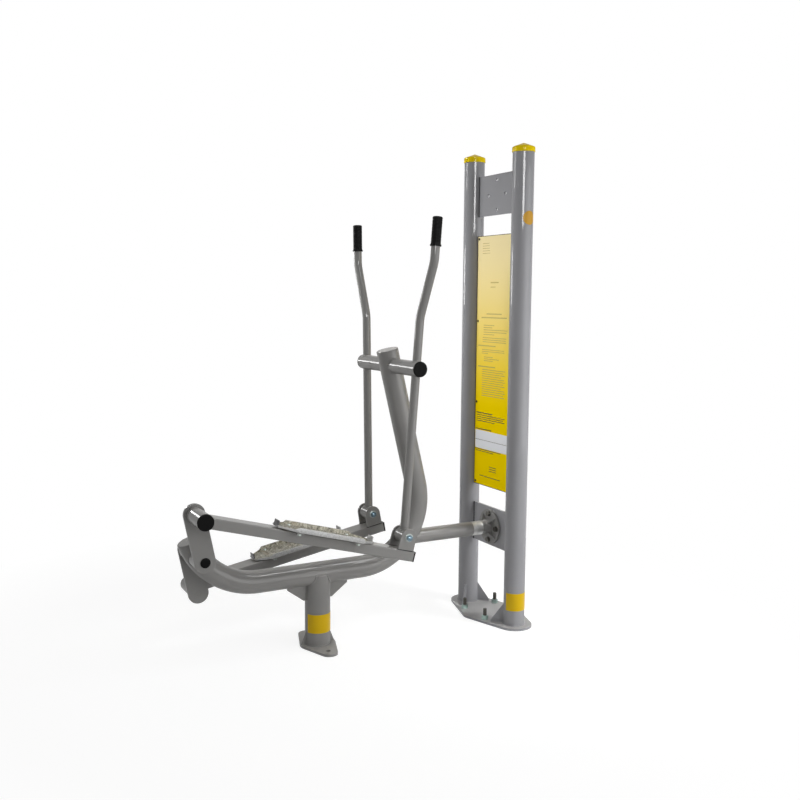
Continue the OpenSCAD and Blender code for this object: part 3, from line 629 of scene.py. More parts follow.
def stand_beads(r):
    """Beads round the posts' feet, along the two plates and at the posts' gussets, which stand
    at an angle to fore and aft."""
    splay, beads = 42, []
    for sign in (-1, 1):
        foot = Vector((STAND_X, sign * POST_Y, PLATE_Z))
        beads.append(weld(ring(foot, "Z", POST_R), r))
        for node in ("upper_plate", "lower_plate"):
            low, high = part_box(node)
            y = sign * (POST_Y - POST_R)
            for x in (low.x, high.x):
                beads.append(weld([(x, y, low.z), (x, y, high.z)], r * 0.9, False))
        for way in (-1, 1):
            turn = math.radians(90 - 90 * way - way * sign * splay)
            out = Vector((math.cos(turn), math.sin(turn), 0))
            beads += gusset_beads(foot + out * POST_R, out, r * 0.8, run=0.052, rise=0.080,
                                  half=0.003)
    return beads


def plate_shadow_lines(radius):
    """Painted shadow: dark lines down both side edges of the two plates, where the gap beside the post is in
    shade.
    """
    painted_lines = []
    for sign in (-1, 1):
        for node in ("upper_plate", "lower_plate"):
            low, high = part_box(node)
            y = sign * (high.y - 0.003)
            painted_lines.append(weld([(low.x, y, low.z), (low.x, y, high.z)], radius, False))
    return painted_lines


def lever_beads(side, sign, radius):
    """Beads round a lever's tube, above and below its sleeve and above its eye."""
    place, beads = lever_frame(side), []
    for centre, drum, way in ((0, SLEEVE_R, -1), (0, SLEEVE_R, 1), (-LEVER_DROP, EYE_R, 1)):
        beads.append(weld([place @ Vector((x, sign * LEVER_Y + y,
                                           centre + way * math.sqrt(drum ** 2 - x ** 2)))
                           for x, y in circle(LEVER_R, 60)], radius))
    return beads


def arm_bead(side, sign, radius):
    """The bead round a pedal arm's end on its sleeve."""
    place, inset = arm_frame(side), 0.006
    turn = math.asin(ARM_H / 2 / SLEEVE_R)
    near, far = LEVER_Y - ARM_W / 2, LEVER_Y + ARM_W / 2 - inset
    steps = (1, 0.6, 0.2, -0.2, -0.6, -1)
    line = [(near, 1)] + [(far, t) for t in steps] + [(near, t) for t in steps[:0:-1]]
    return weld([place @ Vector((SLEEVE_R * math.cos(turn * t), sign * y,
                                 SLEEVE_R * math.sin(turn * t))) for y, t in line], radius)


def clevis_shadow_lines(side, sign, radius):
    """Painted shadow: dark lines round the feet of a clevis's two ears, where the joint with the arm is in shade.
    """
    place, painted_lines = arm_frame(side), []
    for low in (LEVER_Y - ARM_W / 2, LEVER_Y + ARM_W / 2 - EAR_T):
        high = low + EAR_T
        foot = ((-EAR_HALF, low), (EAR_HALF, low), (EAR_HALF, high), (-EAR_HALF, high))
        painted_lines.append(weld([place @ Vector((ARM_RUN + x, sign * y, ARM_H / 2)) for x, y in foot],
                          radius))
    return painted_lines


def crank_beads(radius):
    """Beads round the crank pins' ends on the crank arms."""
    pin_r, beads = 0.0108, []
    for side, sign in SIGNS.items():
        pin = centre_of(side + "_crank_pin")
        beads.append(weld(ring((pin.x, sign * CRANK_Y, pin.z), "Y", pin_r), radius))
    return beads


# Settings


class TrainerFinishes(bpy.types.PropertyGroup):
    """Colours of the trainer's finishes."""

    stand: FloatVectorProperty(name="Stand", description="Powder coat of the posts and plates",
                               subtype="COLOR", size=4, min=0, max=1, default=linear("#949497"))
    machine: FloatVectorProperty(name="Machine", description="Powder coat of the machine",
                                 subtype="COLOR", size=4, min=0, max=1, default=linear("#858482"))
    caps: FloatVectorProperty(name="Caps", description="Powder coat of the post caps",
                              subtype="COLOR", size=4, min=0, max=1, default=linear("#f0d000"))
    board: FloatVectorProperty(name="Board", description="Print at the board's lower edge",
                               subtype="COLOR", size=4, min=0, max=1, default=linear("#fcda00"))
    # Painted glare: the paler colour the print is painted to towards the board's upper edge
    board_top_glare: FloatVectorProperty(name="Board top", description="Print at the board's upper edge",
                                   subtype="COLOR", size=4, min=0, max=1,
                                   default=linear("#fbeab6"))
    tape: FloatVectorProperty(name="Tape", description="Marking tape on the column and post",
                              subtype="COLOR", size=4, min=0, max=1, default=linear("#d4ae00"))
    plastic: FloatVectorProperty(name="Plastic", description="Moulded caps",
                                 subtype="COLOR", size=4, min=0, max=1, default=linear("#090909"))
    rubber: FloatVectorProperty(name="Rubber", description="Moulded grips",
                                subtype="COLOR", size=4, min=0, max=1, default=linear("#121212"))


class TrainerSizes(bpy.types.PropertyGroup):
    """Sizes of the trainer's small details."""

    weld_r: FloatProperty(name="Weld", description="Radius of a weld bead", unit="LENGTH",
                          min=0.001, max=0.008, default=0.0038)
    stud_r: FloatProperty(name="Stud", description="Radius of a tread stud", unit="LENGTH",
                          min=0.002, max=0.008, default=0.0045)
    stud_gap: FloatProperty(name="Stud spacing", description="Distance between tread studs",
                            unit="LENGTH", min=0.012, max=0.05, default=0.021)
    grip_ribs: IntProperty(name="Grip ribs", description="Number of ribs on a grip", min=6, max=30,
                           default=17)
    edge: FloatProperty(name="Plate edge", description="Rounding of the plates' edges",
                        unit="LENGTH", min=0.0005, max=0.003, default=0.0014)
    tape_low: FloatProperty(name="Tape height", description="Lower edge of the column's tape",
                            unit="LENGTH", min=0.03, max=0.12, default=0.063)
    tape_width: FloatProperty(name="Tape width", description="Width of the tape", unit="LENGTH",
                              min=0.02, max=0.1, default=0.075)


# Pieces


class TRAINER_OT_frame_finishes(bpy.types.Operator):
    """Powder coat, plating and plastic on the CAD pieces"""

    bl_idname = "trainer.frame_finishes"
    bl_label = "Frame finishes"

    def execute(self, context):
        colours = context.scene.trainer_finishes
        plastic = moulded_plastic("moulded_polyethylene", colours.plastic[:])
        low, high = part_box("board")
        looks = {
            "stand_paint": powder_coated_steel("powder_coated_stand", colours.stand[:], 0.45),
            "frame_paint": powder_coated_steel("powder_coated_machine", colours.machine[:], 0.4),
            "cap_paint": powder_coated_steel("powder_coated_caps", colours.caps[:], 0.32, coat=0.1,
                                             dust_and_top_light=0),
            "board_sheet": printed_board("printed_sheet", colours.board[:], colours.board_top_glare[:],
                                         linear("#26241c"), low.z, high.z),
            "black_plastic": plastic,
            "grip_rubber": plastic,
            "zinc": plated_steel("zinc_plated_steel", linear("#a9adac"), linear("#8f9a90")),
            "bare_steel": turned_steel("turned_bare_steel", linear("#d6d6d4")),
            "tread_metal": pressed_aluminium("pressed_aluminium", linear("#bab7a8"),
                                             linear("#4c483c"), linear("#857760")),
        }
        # Dark steel for the flange bolts and the anchor studs; on the flange bolts it is partly painted shade, for
        # the shade between the flange's gussets
        dark = plated_steel("oiled_dark_steel_with_painted_shade", linear("#5c5a55"), linear("#4a4945"), 0.42)
        for name, node in NODES.items():
            node.data.materials.clear()
            node.data.materials.append(dark if name == "flange_bolts" else looks[SLOTS[name]])
        return {"FINISHED"}


class TRAINER_OT_edges(bpy.types.Operator):
    """Plates, flat bars and short tubes with their sheared edges rounded"""

    bl_idname = "trainer.edges"
    bl_label = "Rounded plate edges"

    def execute(self, context):
        for node in ("right_crank_arm", "left_crank_arm", "right_clevis", "left_clevis",
                     "column_foot_plate", "column_gussets", "stand_base_plate", "stand_gussets",
                     "upper_plate", "lower_plate", "link_flange", "cross_tube", "crank_hub",
                     "right_lever_sleeve", "left_lever_sleeve", "right_arm_sleeve",
                     "left_arm_sleeve"):
            piece = softened(node, context.scene.trainer_sizes.edge)
            finished(piece, piece.data.materials[0], BODIES[node], SLOTS[node], node, angle=30)
            choose(piece)
            applied(piece, "WEIGHTED_NORMAL", keep_sharp=True)
        settle()
        return {"FINISHED"}


class TRAINER_OT_caps(bpy.types.Operator):
    """Post caps and the black plastic caps, with rounded edges"""

    bl_idname = "trainer.caps"
    bl_label = "Caps"

    def execute(self, context):
        yellow = bpy.data.materials["powder_coated_caps"]
        plastic = bpy.data.materials["moulded_polyethylene"]
        # The cap's profile: radius, and height from the top of its dome
        low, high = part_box("post_caps")
        rim, skirt = (high.x - low.x) / 2, -0.038
        line = [(0, 0), (POST_R - 0.002, -0.0155), (rim - 0.0006, -0.0185), (rim, skirt),
                (POST_R, skirt)]
        cap = turned("post_cap", rounded([(x, z + high.z) for x, z in line], 0.004, 4), 64)
        pair = repeated(cap, "post_caps_turned", [at(STAND_X, y, 0) for y in (-POST_Y, POST_Y)])
        finished(pair, yellow, "frame", "cap_paint", "post_caps")

        # One disc serves the sleeves of the levers and of the pedal arms
        base, face = -0.002, 0.0052
        disc = turned("plastic_disc", rounded([(0, base), (SLEEVE_R, base), (SLEEVE_R, 0.005),
                                               (SLEEVE_R * 0.8, face), (0, face)], 0.0022, 4), 64)
        # The arm's end cap stands 0.2 mm proud of the arm all round
        settle()
        bpy.ops.mesh.primitive_cube_add(size=1)
        bpy.context.object.scale = (0.0065, ARM_W + 0.0004, ARM_H + 0.0004)
        end = named("arm_end_cap")
        edit_all()
        bpy.ops.mesh.bevel(offset=0.0022, segments=3, affect="EDGES")
        bpy.ops.object.mode_set(mode="OBJECT")
        for side, sign in SIGNS.items():
            node = side + "_sleeve_cap"
            seat = centre_of(node)
            piece = copied(disc, node + "_turned",
                           at(seat.x, sign * LEVER_SLEEVE_Y, seat.z) @ toward(0, sign, 0))
            finished(piece, plastic, side + "_lever_arm", "black_plastic", node)
            seat = centre_of(side + "_crank_pin")
            pair = [copied(disc, "pin_cap",
                           at(seat.x, sign * ARM_SLEEVE_Y, seat.z) @ toward(0, sign, 0)),
                    copied(end, "end_cap", arm_frame(side) @ at(ARM_END, sign * LEVER_Y, 0))]
            finished(joined(side + "_arm_caps_moulded", pair), plastic, side + "_pedal",
                     "black_plastic", side + "_arm_caps")
        for piece in (disc, end):
            bpy.data.objects.remove(piece)

        outer = 0.0185
        button = turned("axle_button", rounded([(0, 0), (outer, 0), (outer, 0.0035),
                                                (0.013, 0.0048), (0, 0.005)], 0.0012, 3), 48)
        pair = repeated(button, "axle_caps_turned",
                        [at(AXLE.x, sign * AXLE_Y, AXLE.z) @ toward(0, sign, 0)
                         for sign in (-1, 1)])
        finished(pair, plastic, "crank", "black_plastic", "axle_caps")
        return {"FINISHED"}


class TRAINER_OT_grips(bpy.types.Operator):
    """Ribbed grips with a ring at the bottom and a domed top"""

    bl_idname = "trainer.grips"
    bl_label = "Grips"

    def execute(self, context):
        ribs = context.scene.trainer_sizes.grip_ribs
        rubber = moulded_plastic("moulded_rubber", context.scene.trainer_finishes.rubber[:], 0.55)
        bore, outer, ring_r, length = 0.0169, 0.01925, 0.02175, 0.111
        groove, foot, crown = outer - 0.0011, 0.010, 0.012
        line = [(bore, 0), (ring_r, 0), (ring_r, 0.006), (outer, 0.0072)]
        run = (length - foot - crown) / ribs
        for i in range(ribs):
            z = foot + i * run
            line += [(outer, z), (outer, z + run * 0.52), (groove, z + run * 0.62),
                     (groove, z + run * 0.9)]
        line += [(outer, length - 0.010), (outer, length - 0.006), (outer - 0.002, length - 0.0018),
                 (outer * 0.6, length - 0.0004), (0, length)]
        grip = turned("grip", rounded(line, 0.0006, 2), 48)
        for side, sign in SIGNS.items():
            place = lever_frame(side) @ at(0, sign * GRIP_Y, GRIP_TOP - length)
            finished(copied(grip, side + "_grip_ribbed", place), rubber, side + "_lever_arm",
                     "grip_rubber", side + "_grip", angle=50)
        bpy.data.objects.remove(grip)
        return {"FINISHED"}


class TRAINER_OT_treads(bpy.types.Operator):
    """Pressed foot plates with a folded rim, a tab at each end and rows of round studs"""

    bl_idname = "trainer.treads"
    bl_label = "Treads"

    def execute(self, context):
        sizes = context.scene.trainer_sizes
        metal = bpy.data.materials["pressed_aluminium"]
        rim_metal = pressed_aluminium("folded_aluminium_rim", linear("#b2b2b2"), linear("#8a8a88"),
                                      linear("#a39f96"), 0.006)
        # Painted shade: the rear tab is drawn in dark paint, while the front tab takes the rim's metal
        rear_tab_shade = powder_coated_steel("rear_tab_painted_shade", linear("#4c4a4e"), dust_and_top_light=0)
        # The plate narrows in a straight line from its full width at clip to tip at its ends
        half_l, half_w, tip, clip = 0.198, 0.070, 0.030, 0.133
        sheet, rim, tab_half, fold = 0.004, 0.018, 0.0215, 0.003
        bolt_x, bolt_y, clear = 0.122, 0.055, 0.013

        def edge_at(x):
            """Half width of the plate at a distance from its middle."""
            if abs(x) < clip:
                return half_w
            return tip + (half_l - abs(x)) * (half_w - tip) / (half_l - clip)

        # One corner of the outline: along, across, and the height of the rim there
        corner = [(half_l, 0.020, 0.024), (half_l, tab_half, 0.007), (half_l, tip, 0.007),
                  (clip + 0.012, half_w - 0.0074, 0.010), (clip, half_w, rim)]
        back = corner[::-1]
        outline = corner + [(-x, y, z) for x, y, z in back] + [(-x, -y, z) for x, y, z in corner]
        outline += [(x, -y, z) for x, y, z in back]
        settle()
        bpy.ops.mesh.primitive_circle_add(vertices=len(outline), radius=0.1, fill_type="NGON")
        tray = named("tread_tray")
        for vertex, (x, y, z) in zip(tray.data.vertices, outline):
            vertex.co = (x, y, 0)
        edit_all()
        bpy.ops.mesh.normals_make_consistent(inside=False)
        bpy.ops.mesh.region_to_loop()
        bpy.ops.mesh.extrude_edges_move(TRANSFORM_OT_translate={"value": (0, 0, rim)})
        bpy.ops.mesh.select_all(action="SELECT")
        bpy.ops.mesh.normals_make_consistent(inside=True)
        bpy.ops.object.mode_set(mode="OBJECT")
        for vertex in tray.data.vertices:
            if vertex.co.z > rim / 2:
                vertex.co.z = min(outline, key=lambda spot: math.dist(spot[:2], vertex.co[:2]))[2]
        applied(tray, "SOLIDIFY", thickness=sheet, offset=1.0)
        applied(tray, "BEVEL", width=0.0022, segments=3, limit_method="ANGLE",
                angle_limit=math.radians(35))

        settle()
        bpy.ops.mesh.primitive_uv_sphere_add(segments=12, ring_count=6, radius=sizes.stud_r)
        stud = named("tread_stud")
        edit_all()
        bpy.ops.mesh.bisect(plane_co=(0, 0, 0), plane_no=(0, 0, 1), clear_inner=True,
                            use_fill=False)
        bpy.ops.mesh.select_all(action="SELECT")
        bpy.ops.transform.resize(value=(1, 1, 0.42))
        bpy.ops.object.mode_set(mode="OBJECT")
        studs, gap = [], sizes.stud_gap
        for i in range(-11, 12):
            for j in range(-4, 5):
                x, y = i * gap, (j + (0.5 if i % 2 else 0)) * gap * 0.75
                near_bolt = abs(abs(x) - bolt_x) < clear and abs(abs(y) - bolt_y) < clear
                if abs(x) < half_l - 0.012 and abs(y) < edge_at(x) - clear and not near_bolt:
                    studs.append(copied(stud, "stud", at(x, y, sheet - 0.0001)))
        bpy.data.objects.remove(stud)
        whole = joined("tread", [tray] + studs)
        for look in (metal, rim_metal, rear_tab_shade):
            whole.data.materials.append(look)
        for face in whole.data.polygons:
            x, y, z = face.center
            outside = abs(y) > edge_at(x) - fold or abs(x) > half_l - fold
            # The rear tab's faces take the painted shade, the front tab's faces the rim's metal
            if abs(x) > half_l - 2 * fold and abs(y) < tab_half + 0.0015 and z > 0.006:
                face.material_index = 1 if x > 0 else 2
            elif outside and abs(face.normal.z) < 0.8 or z > rim - 0.001:
                face.material_index = 1
        for side, sign in SIGNS.items():
            place = arm_frame(side) @ at(TREAD_X, sign * TREAD_Y, TREAD_Z)
            finished(copied(whole, side + "_tread", place), metal, side + "_pedal", "tread_metal",
                     side + "_footplate")
        bpy.data.objects.remove(whole)
        return {"FINISHED"}


class TRAINER_OT_fasteners(bpy.types.Operator):
    """Clevis bolts with washers, anchor studs with nuts, and board screws"""

    bl_idname = "trainer.fasteners"
    bl_label = "Fasteners"

    def execute(self, context):
        blued = plated_steel("blue_passivated_zinc", linear("#7c8c94"), linear("#46606f"), 0.3)
        green = plated_steel("green_passivated_zinc", linear("#a9b3b0"), linear("#7f9a92"), 0.3)
        bright = plated_steel("dull_zinc_washers", linear("#a4a8a6"), linear("#868e8a"), 0.45)
        black = plated_steel("blackened_steel", linear("#2c2b2a"), linear("#211f1e"), 0.4)
        dark = bpy.data.materials["oiled_dark_steel_with_painted_shade"]

        washer_t, bolt_r = 0.0025, 0.008
        flat = washer("bolt_washer", 0.0165, washer_t)
        dome = turned("bolt_dome", [(0.0075, 0), (0.0075, 0.001), (0.005, 0.0028), (0, 0.0034)], 32)
        head = joined("bolt_head", [moved(nut("bolt_hex", 0.022, 0.0075), at(0, 0, washer_t)),
                                    moved(dome, at(0, 0, 0.0100))])
        for side, sign in SIGNS.items():
            hinge = arm_frame(side) @ at(ARM_RUN, sign * LEVER_Y, ARM_RISE)
            ends = [hinge @ at(0, way * ARM_W / 2, 0) @ toward(0, way, 0) for way in (-1, 1)]
            settle()
            bpy.ops.mesh.primitive_cylinder_add(vertices=32, radius=bolt_r, depth=ARM_W)
            shank = moved(named("shank"), hinge @ toward(0, 1, 0))
            bolt = joined(side + "_hinge_bolt", [shank] + [copied(head, "end", place)
                                                           for place in ends])
            finished(bolt, blued, side + "_pedal", "zinc", side + "_clevis_bolt")
            pair = joined(side + "_hinge_washers", [copied(flat, "flat", place) for place in ends])
            finished(pair, bright, side + "_pedal", "zinc")
        for piece in (head, flat):
            bpy.data.objects.remove(piece)

        seat_t = 0.003
        seat = joined("anchor_seat", [
            moved(washer("anchor_washer", 0.015, seat_t), at(0, 0, PLATE_Z)),
            moved(nut("anchor_nut", 0.024, 0.013), at(0, 0, PLATE_Z + seat_t))])
        stud = thread("anchor_stud", bolt_r, 0.056, 0.002)
        spots = [at(STAND_X + x, y, 0) for x in (-ANCHOR_REACH, ANCHOR_REACH)
                 for y in (-ANCHOR_REACH, ANCHOR_REACH)]
        finished(repeated(stud, "anchor_studs", spots), dark, "frame", "zinc", "anchor_bolts",
                 angle=25)
        finished(repeated(seat, "anchor_nuts", spots), green, "frame", "zinc", angle=25)

        screw = turned("screw", rounded([(0, 0.0), (0.0055, 0.0), (0.0052, 0.0012),
                                         (0.0032, 0.0028), (0, 0.003)], 0.0006, 2), 24)
        low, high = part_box("board")
        inset = 0.012
        step = (high.z - low.z - 2 * inset) / 3
        spots = [at(low.x, y, low.z + inset + i * step) @ toward(-1, 0, 0)
                 for y in (low.y + inset, high.y - inset) for i in range(4)]
        finished(repeated(screw, "board_screw_heads", spots), black, "frame", "zinc",
                 "board_screws")
        return {"FINISHED"}


class TRAINER_OT_welds(bpy.types.Operator):
    """Weld beads where the tubes and plates meet, and dark lines of painted shadow along the plates' edges and
    round the clevis ears' feet
    """

    bl_idname = "trainer.welds"
    bl_label = "Welds"

    def execute(self, context):
        r = context.scene.trainer_sizes.weld_r
        machine = bpy.data.materials["powder_coated_machine"]
        stand = bpy.data.materials["powder_coated_stand"]
        # Painted shadow: a near-black plastic for the dark lines at the plates' edges and the clevis ears' feet
        shadow_paint = moulded_plastic("painted_gap_shadow", linear("#2c2c2d"))
        rows = [("machine_welds", machine_beads(r), machine, "frame", "frame_paint"),
                ("stand_welds", stand_beads(r), stand, "frame", "stand_paint"),
                ("plate_shadow_lines", plate_shadow_lines(0.0028), shadow_paint, "frame", "black_plastic")]
        for side, sign in SIGNS.items():
            rows += [(side + "_lever_welds", lever_beads(side, sign, r * 0.85), machine,
                      side + "_lever_arm", "frame_paint"),
                     (side + "_arm_welds", [arm_bead(side, sign, r * 0.85)], machine,
                      side + "_pedal", "frame_paint"),
                     (side + "_clevis_shadow_lines", clevis_shadow_lines(side, sign, r * 0.45), shadow_paint,
                      side + "_pedal", "black_plastic")]
        rows.append(("crank_welds", crank_beads(r * 0.35), machine, "crank", "frame_paint"))
        for name, beads, look, body, slot in rows:
            finished(joined(name, beads), look, body, slot, angle=80)
        return {"FINISHED"}


class TRAINER_OT_markings(bpy.types.Operator):
    """Plain marking tape, a plain disc, and the board's plain bars and blank panel"""

    bl_idname = "trainer.markings"
    bl_label = "Markings"

    def execute(self, context):
        sizes, colours = context.scene.trainer_sizes, context.scene.trainer_finishes
        tape = printed_ink("vinyl_label", colours.tape[:], 0.35)
        faint = printed_ink("faded_print", linear("#bfa850"), 0.45)
        dark = printed_ink("dark_print", linear("#4a3f10"), 0.45)
        white = printed_ink("white_print", linear("#f0f2f6"), 0.35)
        amber = printed_ink("amber_film", linear("#c4921e"), 0.3)
        girth, facing = 0.150, math.radians(-78)
        for name, centre, radius, low in (
                ("column_label", (0, 0), COLUMN_R, sizes.tape_low),
                ("post_label", (STAND_X, -POST_Y), POST_R, sizes.tape_low + 0.012)):
            settle()
            bpy.ops.mesh.primitive_grid_add(x_subdivisions=48, y_subdivisions=2, size=1)
            bpy.context.object.scale = (girth, sizes.tape_width, 1)
            label = wrapped(named(name), (*centre, low + sizes.tape_width / 2), radius, facing)
            finished(label, tape, "frame", "cap_paint")
        disc_r, disc_z, disc_facing = 0.028, 1.709, math.radians(-86)
        settle()
        bpy.ops.mesh.primitive_circle_add(vertices=48, radius=disc_r, fill_type="TRIFAN")
        disc = named("post_disc")
        edit_all()
        bpy.ops.mesh.subdivide(number_cuts=3)
        bpy.ops.object.mode_set(mode="OBJECT")
        disc = wrapped(disc, (STAND_X, -POST_Y, disc_z), POST_R, disc_facing)
        finished(disc, amber, "frame", "cap_paint")

        # A row is a bar's height above the ground, its left and right ends and its thickness
        title, text, border = 0.0045, 0.003, 0.0026
        faint_rows = [(1.318, 0.057, -0.057, title), (1.302, 0.095, -0.095, title),
                      (1.452, 0.030, -0.030, title), (1.433, 0.030, -0.007, text)]
        faint_rows += [(1.620 - i * 0.0105, 0.095, 0.045 - i * 0.002, 0.002) for i in range(5)]
        faint_rows += [(z, 0.117, -0.016, title) for z in (1.180, 1.089)]
        for top, count, left, step, ends in (
                (1.269, 5, 0.078, 0.010, (-0.004, 0.011, -0.102, -0.095, -0.004)),
                (1.215, 3, 0.084, 0.009, (-0.095, -0.090, -0.093)),
                (1.163, 3, 0.087, 0.008, (-0.080, -0.082, 0.040)),
                (1.131, 3, 0.072, 0.008, (0.003, -0.042, 0.003)),
                (1.076, 13, 0.085, 0.0095, (-0.090, -0.078, -0.088, -0.060, -0.084))):
            faint_rows += [(top - i * step, left, ends[i % len(ends)], text) for i in range(count)]
        bold_rows = [(0.884, 0.123, -0.002, title)]
        bold_rows += [(0.874 - i * 0.0088, 0.123, end, text)
                      for i, end in enumerate((-0.093, -0.080, -0.093, -0.017))]
        bold_rows += [(0.812, 0.126, 0.005, title), (0.722, 0.126, -0.068, text),
                      (0.714, 0.120, -0.014, text), (0.605, 0.090, -0.068, text)]
        bold_rows += [(0.652 - i * 0.009, 0.018, -0.037, text) for i in range(3)]
        low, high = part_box("board")
        # Dark bars 2.6 mm wide along the board's four edges
        bold_rows += [(z, high.y, -high.y, border) for z in (low.z + border / 2,
                                                             high.z - border / 2)]
        bold_rows += [((low.z + high.z) / 2, y + border / 2, y - border / 2, high.z - low.z)
                      for y in (high.y - border / 2, border / 2 - high.y)]
        panel_half = 0.129

        settle()
        bpy.ops.mesh.primitive_cube_add(size=1)
        bar = named("print_bar")

        def printed(name, z, left, right, tall, lift=0.0001):
            """A bar let 0.1 mm into the board's face, its middle standing off the face by lift."""
            return copied(bar, name, at(low.x - lift, (left + right) / 2, z)
                          @ Matrix.Diagonal((0.0002 + 2 * lift, left - right, tall, 1)))

        faint_bars = [printed("bar", *row) for row in faint_rows]
        bold_bars = [printed("bar", *row) for row in bold_rows]
        bold_bars.append(printed("bar", 0.764, panel_half, -panel_half, 0.0015, 0.0002))
        panel = printed("blank_panel", 0.766, panel_half, -panel_half, 0.080)
        bpy.data.objects.remove(bar)
        finished(joined("board_faint_lines", faint_bars), faint, "frame", "board_sheet")
        finished(joined("board_bold_lines", bold_bars), dark, "frame", "board_sheet")
        finished(panel, white, "frame", "board_sheet")
        return {"FINISHED"}


# Stage


def shown(tree):
    """A socket that is 1 where the camera, a reflection or glass shows the surface, and 0 where
    the surface only lights the machine."""
    path = put(tree, "ShaderNodeLightPath")
    straight = put(tree, "ShaderNodeMath", {"operation": "MAXIMUM"},
                   {0: path.outputs["Is Camera Ray"], 1: path.outputs["Is Transmission Ray"]})
    return put(tree, "ShaderNodeMath", {"operation": "MAXIMUM"},
               {0: straight.outputs[0], 1: path.outputs["Is Glossy Ray"]}).outputs[0]


def pale_floor():
    """Floor paint that shows white from 2 m out, and nearer in a pale grey with the machine's
    shadow."""
    material, tree, place = fresh_material("pale_floor")
    reach = put(tree, "ShaderNodeVectorMath", {"operation": "LENGTH"}, {0: place})
    far = put(tree, "ShaderNodeMapRange", {"From Min": 1.2, "From Max": 2.0},
              {"Value": reach.outputs["Value"]})
    pale = put(tree, "ShaderNodeBsdfDiffuse", {"Color": (0.9, 0.9, 0.9, 1)})
    shaded = put(tree, "ShaderNodeBsdfDiffuse", {"Color": (0.28, 0.28, 0.28, 1)})
    glow = put(tree, "ShaderNodeEmission", {"Color": (1, 1, 1, 1), "Strength": 0.84})
    white = put(tree, "ShaderNodeEmission", {"Color": (1, 1, 1, 1), "Strength": 1.0})
    near = put(tree, "ShaderNodeAddShader", None, {0: shaded.outputs[0], 1: glow.outputs[0]})
    view = put(tree, "ShaderNodeMixShader", None, {0: far.outputs["Result"],
                                                   1: near.outputs[0], 2: white.outputs[0]})
    mix = put(tree, "ShaderNodeMixShader", None, {0: shown(tree), 1: pale.outputs[0],
                                                  2: view.outputs[0]})
    put(tree, "ShaderNodeOutputMaterial", None, {"Surface": mix.outputs[0]})
    return material


def studio_world():
    """A white world that lights softly, a little more from the sides than from above."""
    world = bpy.data.worlds.new("studio")
    world.use_nodes = True
    tree = world.node_tree
    tree.nodes.clear()
    split = put(tree, "ShaderNodeSeparateXYZ", None,
                {"Vector": put(tree, "ShaderNodeTexCoord").outputs["Generated"]})
    level = put(tree, "ShaderNodeMapRange", {"From Max": 0.8, "To Min": 0.53, "To Max": 0.34},
                {"Value": split.outputs["Z"]})
    soft = put(tree, "ShaderNodeBackground", {"Color": (1, 1, 1, 1)},
               {"Strength": level.outputs["Result"]})
    plain = put(tree, "ShaderNodeBackground", {"Color": (1, 1, 1, 1), "Strength": 1.0})
    mix = put(tree, "ShaderNodeMixShader", None, {0: shown(tree), 1: soft.outputs[0],
                                                  2: plain.outputs[0]})
    put(tree, "ShaderNodeOutputWorld", None, {"Surface": mix.outputs[0]})
    return world


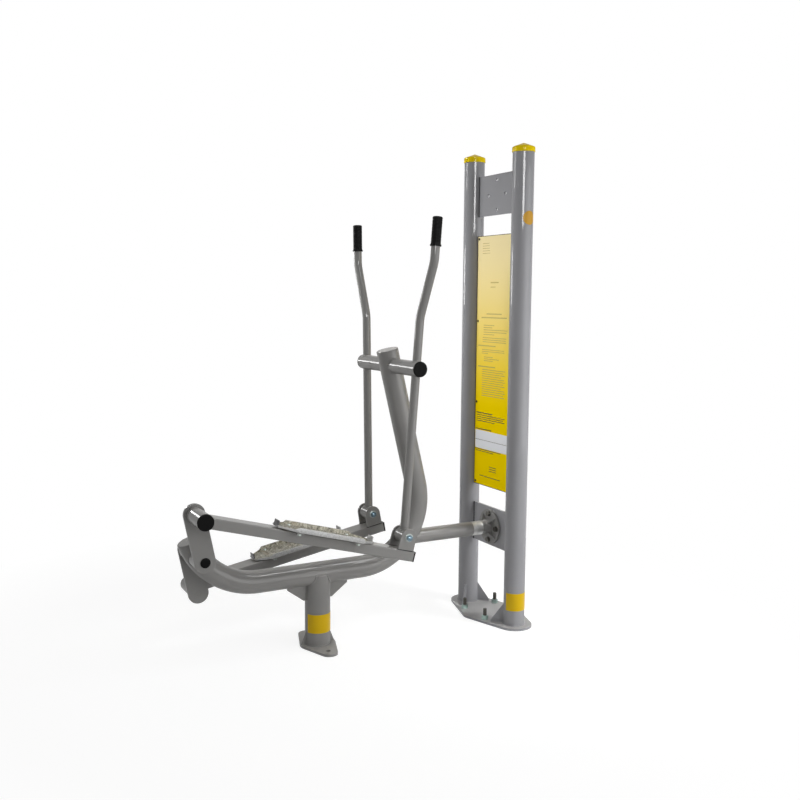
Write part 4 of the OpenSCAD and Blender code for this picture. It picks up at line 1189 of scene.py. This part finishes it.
class TRAINER_OT_stage(bpy.types.Operator):
    """Pale floor, soft lights and the camera"""

    bl_idname = "trainer.stage"
    bl_label = "Stage"

    def execute(self, context):
        scene = context.scene
        settle()
        bpy.ops.mesh.primitive_plane_add(size=60, location=(0, 0, 0))
        floor = bpy.context.object
        floor.name = "floor"
        floor.data.materials.append(pale_floor())
        scene.world = studio_world()

        # Sizes in metres, spreads in degrees, powers in watts. The strips only show as the
        # highlights along the tubes.
        for name, spot, aim, wide, tall, spread, power, strip in (
                ("key", (2.6, -3.8, 1.25), (0.2, 0, 0.6), 5.0, 2.4, 100, 33, False),
                ("board_fill", (-1.0, 1.6, 2.4), (0.83, 0, 1.28), 0.6, 0.6, 46, 3.1, False),
                ("base_fill", (1.9, -1.6, 2.8), (0.83, 0, 0.1), 0.6, 0.6, 50, 3.4, False),
                ("post_strip", (-0.8, -3.38, 2.55), (0.83, 0, 1.9), 1.2, 1.2, 180, 125, True),
                ("sleeve_strip", (-1.2, 3.2, 1.55), (0, 3.2, 0.95), 2.0, 0.5, 180, 50, True),
                ("top_strip", (0.9, -0.9, 3.0), (0.3, 0, 0.3), 2.4, 0.3, 180, 46, True)):
            light = bpy.data.lights.new(name, "AREA")
            light.shape = "RECTANGLE"
            light.size, light.size_y = wide, tall
            light.spread = math.radians(spread)
            light.energy = power
            lamp = bpy.data.objects.new(name, light)
            lamp.location = spot
            lamp.rotation_euler = (Vector(aim) - Vector(spot)).to_track_quat("-Z", "Y").to_euler()
            lamp.visible_camera = False
            lamp.visible_diffuse = not strip
            scene.collection.objects.link(lamp)

        # The photograph's camera: its place, its turns in degrees and its focal length in pixels
        eye, focal, image_width = (-1.44731, -3.32008, 1.38522), 931.66, 800
        yaw, pitch, roll = (math.radians(v) for v in (28.67, 6.27, 0.44))
        ahead = Vector((math.sin(yaw) * math.cos(pitch), math.cos(yaw) * math.cos(pitch),
                        -math.sin(pitch)))
        right = Vector((math.cos(yaw), -math.sin(yaw), 0))
        up = right.cross(ahead)
        across = right * math.cos(roll) + up * math.sin(roll)
        upright = up * math.cos(roll) - right * math.sin(roll)
        lens = bpy.data.cameras.new("camera")
        lens.sensor_width = 36.0
        lens.lens = focal / image_width * lens.sensor_width
        lens.clip_end = 100
        camera = bpy.data.objects.new("camera", lens)
        camera.matrix_world = at(*eye) @ Matrix((across, upright, -ahead)).transposed().to_4x4()
        scene.collection.objects.link(camera)
        scene.camera = camera
        scene.view_settings.view_transform = "Standard"
        return {"FINISHED"}


class TRAINER_PT_panel(bpy.types.Panel):
    """Lists the trainer's settings and steps"""

    bl_label = "Outdoor cross trainer"
    bl_idname = "TRAINER_PT_panel"
    bl_space_type = "VIEW_3D"
    bl_region_type = "UI"
    bl_category = "Trainer"

    def draw(self, context):
        column = self.layout.column()
        for group in (context.scene.trainer_finishes, context.scene.trainer_sizes):
            for key in group.__annotations__:
                column.prop(group, key)
        for step in STEPS:
            column.operator(step.bl_idname)


STEPS = (TRAINER_OT_frame_finishes, TRAINER_OT_edges, TRAINER_OT_caps, TRAINER_OT_grips,
         TRAINER_OT_treads, TRAINER_OT_fasteners, TRAINER_OT_welds, TRAINER_OT_markings,
         TRAINER_OT_stage)
CLASSES = (TrainerFinishes, TrainerSizes) + STEPS + (TRAINER_PT_panel,)


def register():
    for item in CLASSES:
        bpy.utils.register_class(item)
    bpy.types.Scene.trainer_finishes = PointerProperty(type=TrainerFinishes)
    bpy.types.Scene.trainer_sizes = PointerProperty(type=TrainerSizes)


def unregister():
    del bpy.types.Scene.trainer_sizes
    del bpy.types.Scene.trainer_finishes
    for item in reversed(CLASSES):
        bpy.utils.unregister_class(item)


def main():
    register()
    bpy.ops.trainer.frame_finishes()
    bpy.ops.trainer.edges()
    bpy.ops.trainer.caps()
    bpy.ops.trainer.grips()
    bpy.ops.trainer.treads()
    bpy.ops.trainer.fasteners()
    bpy.ops.trainer.welds()
    bpy.ops.trainer.markings()
    bpy.ops.trainer.stage()


if __name__ == "__main__":
    main()
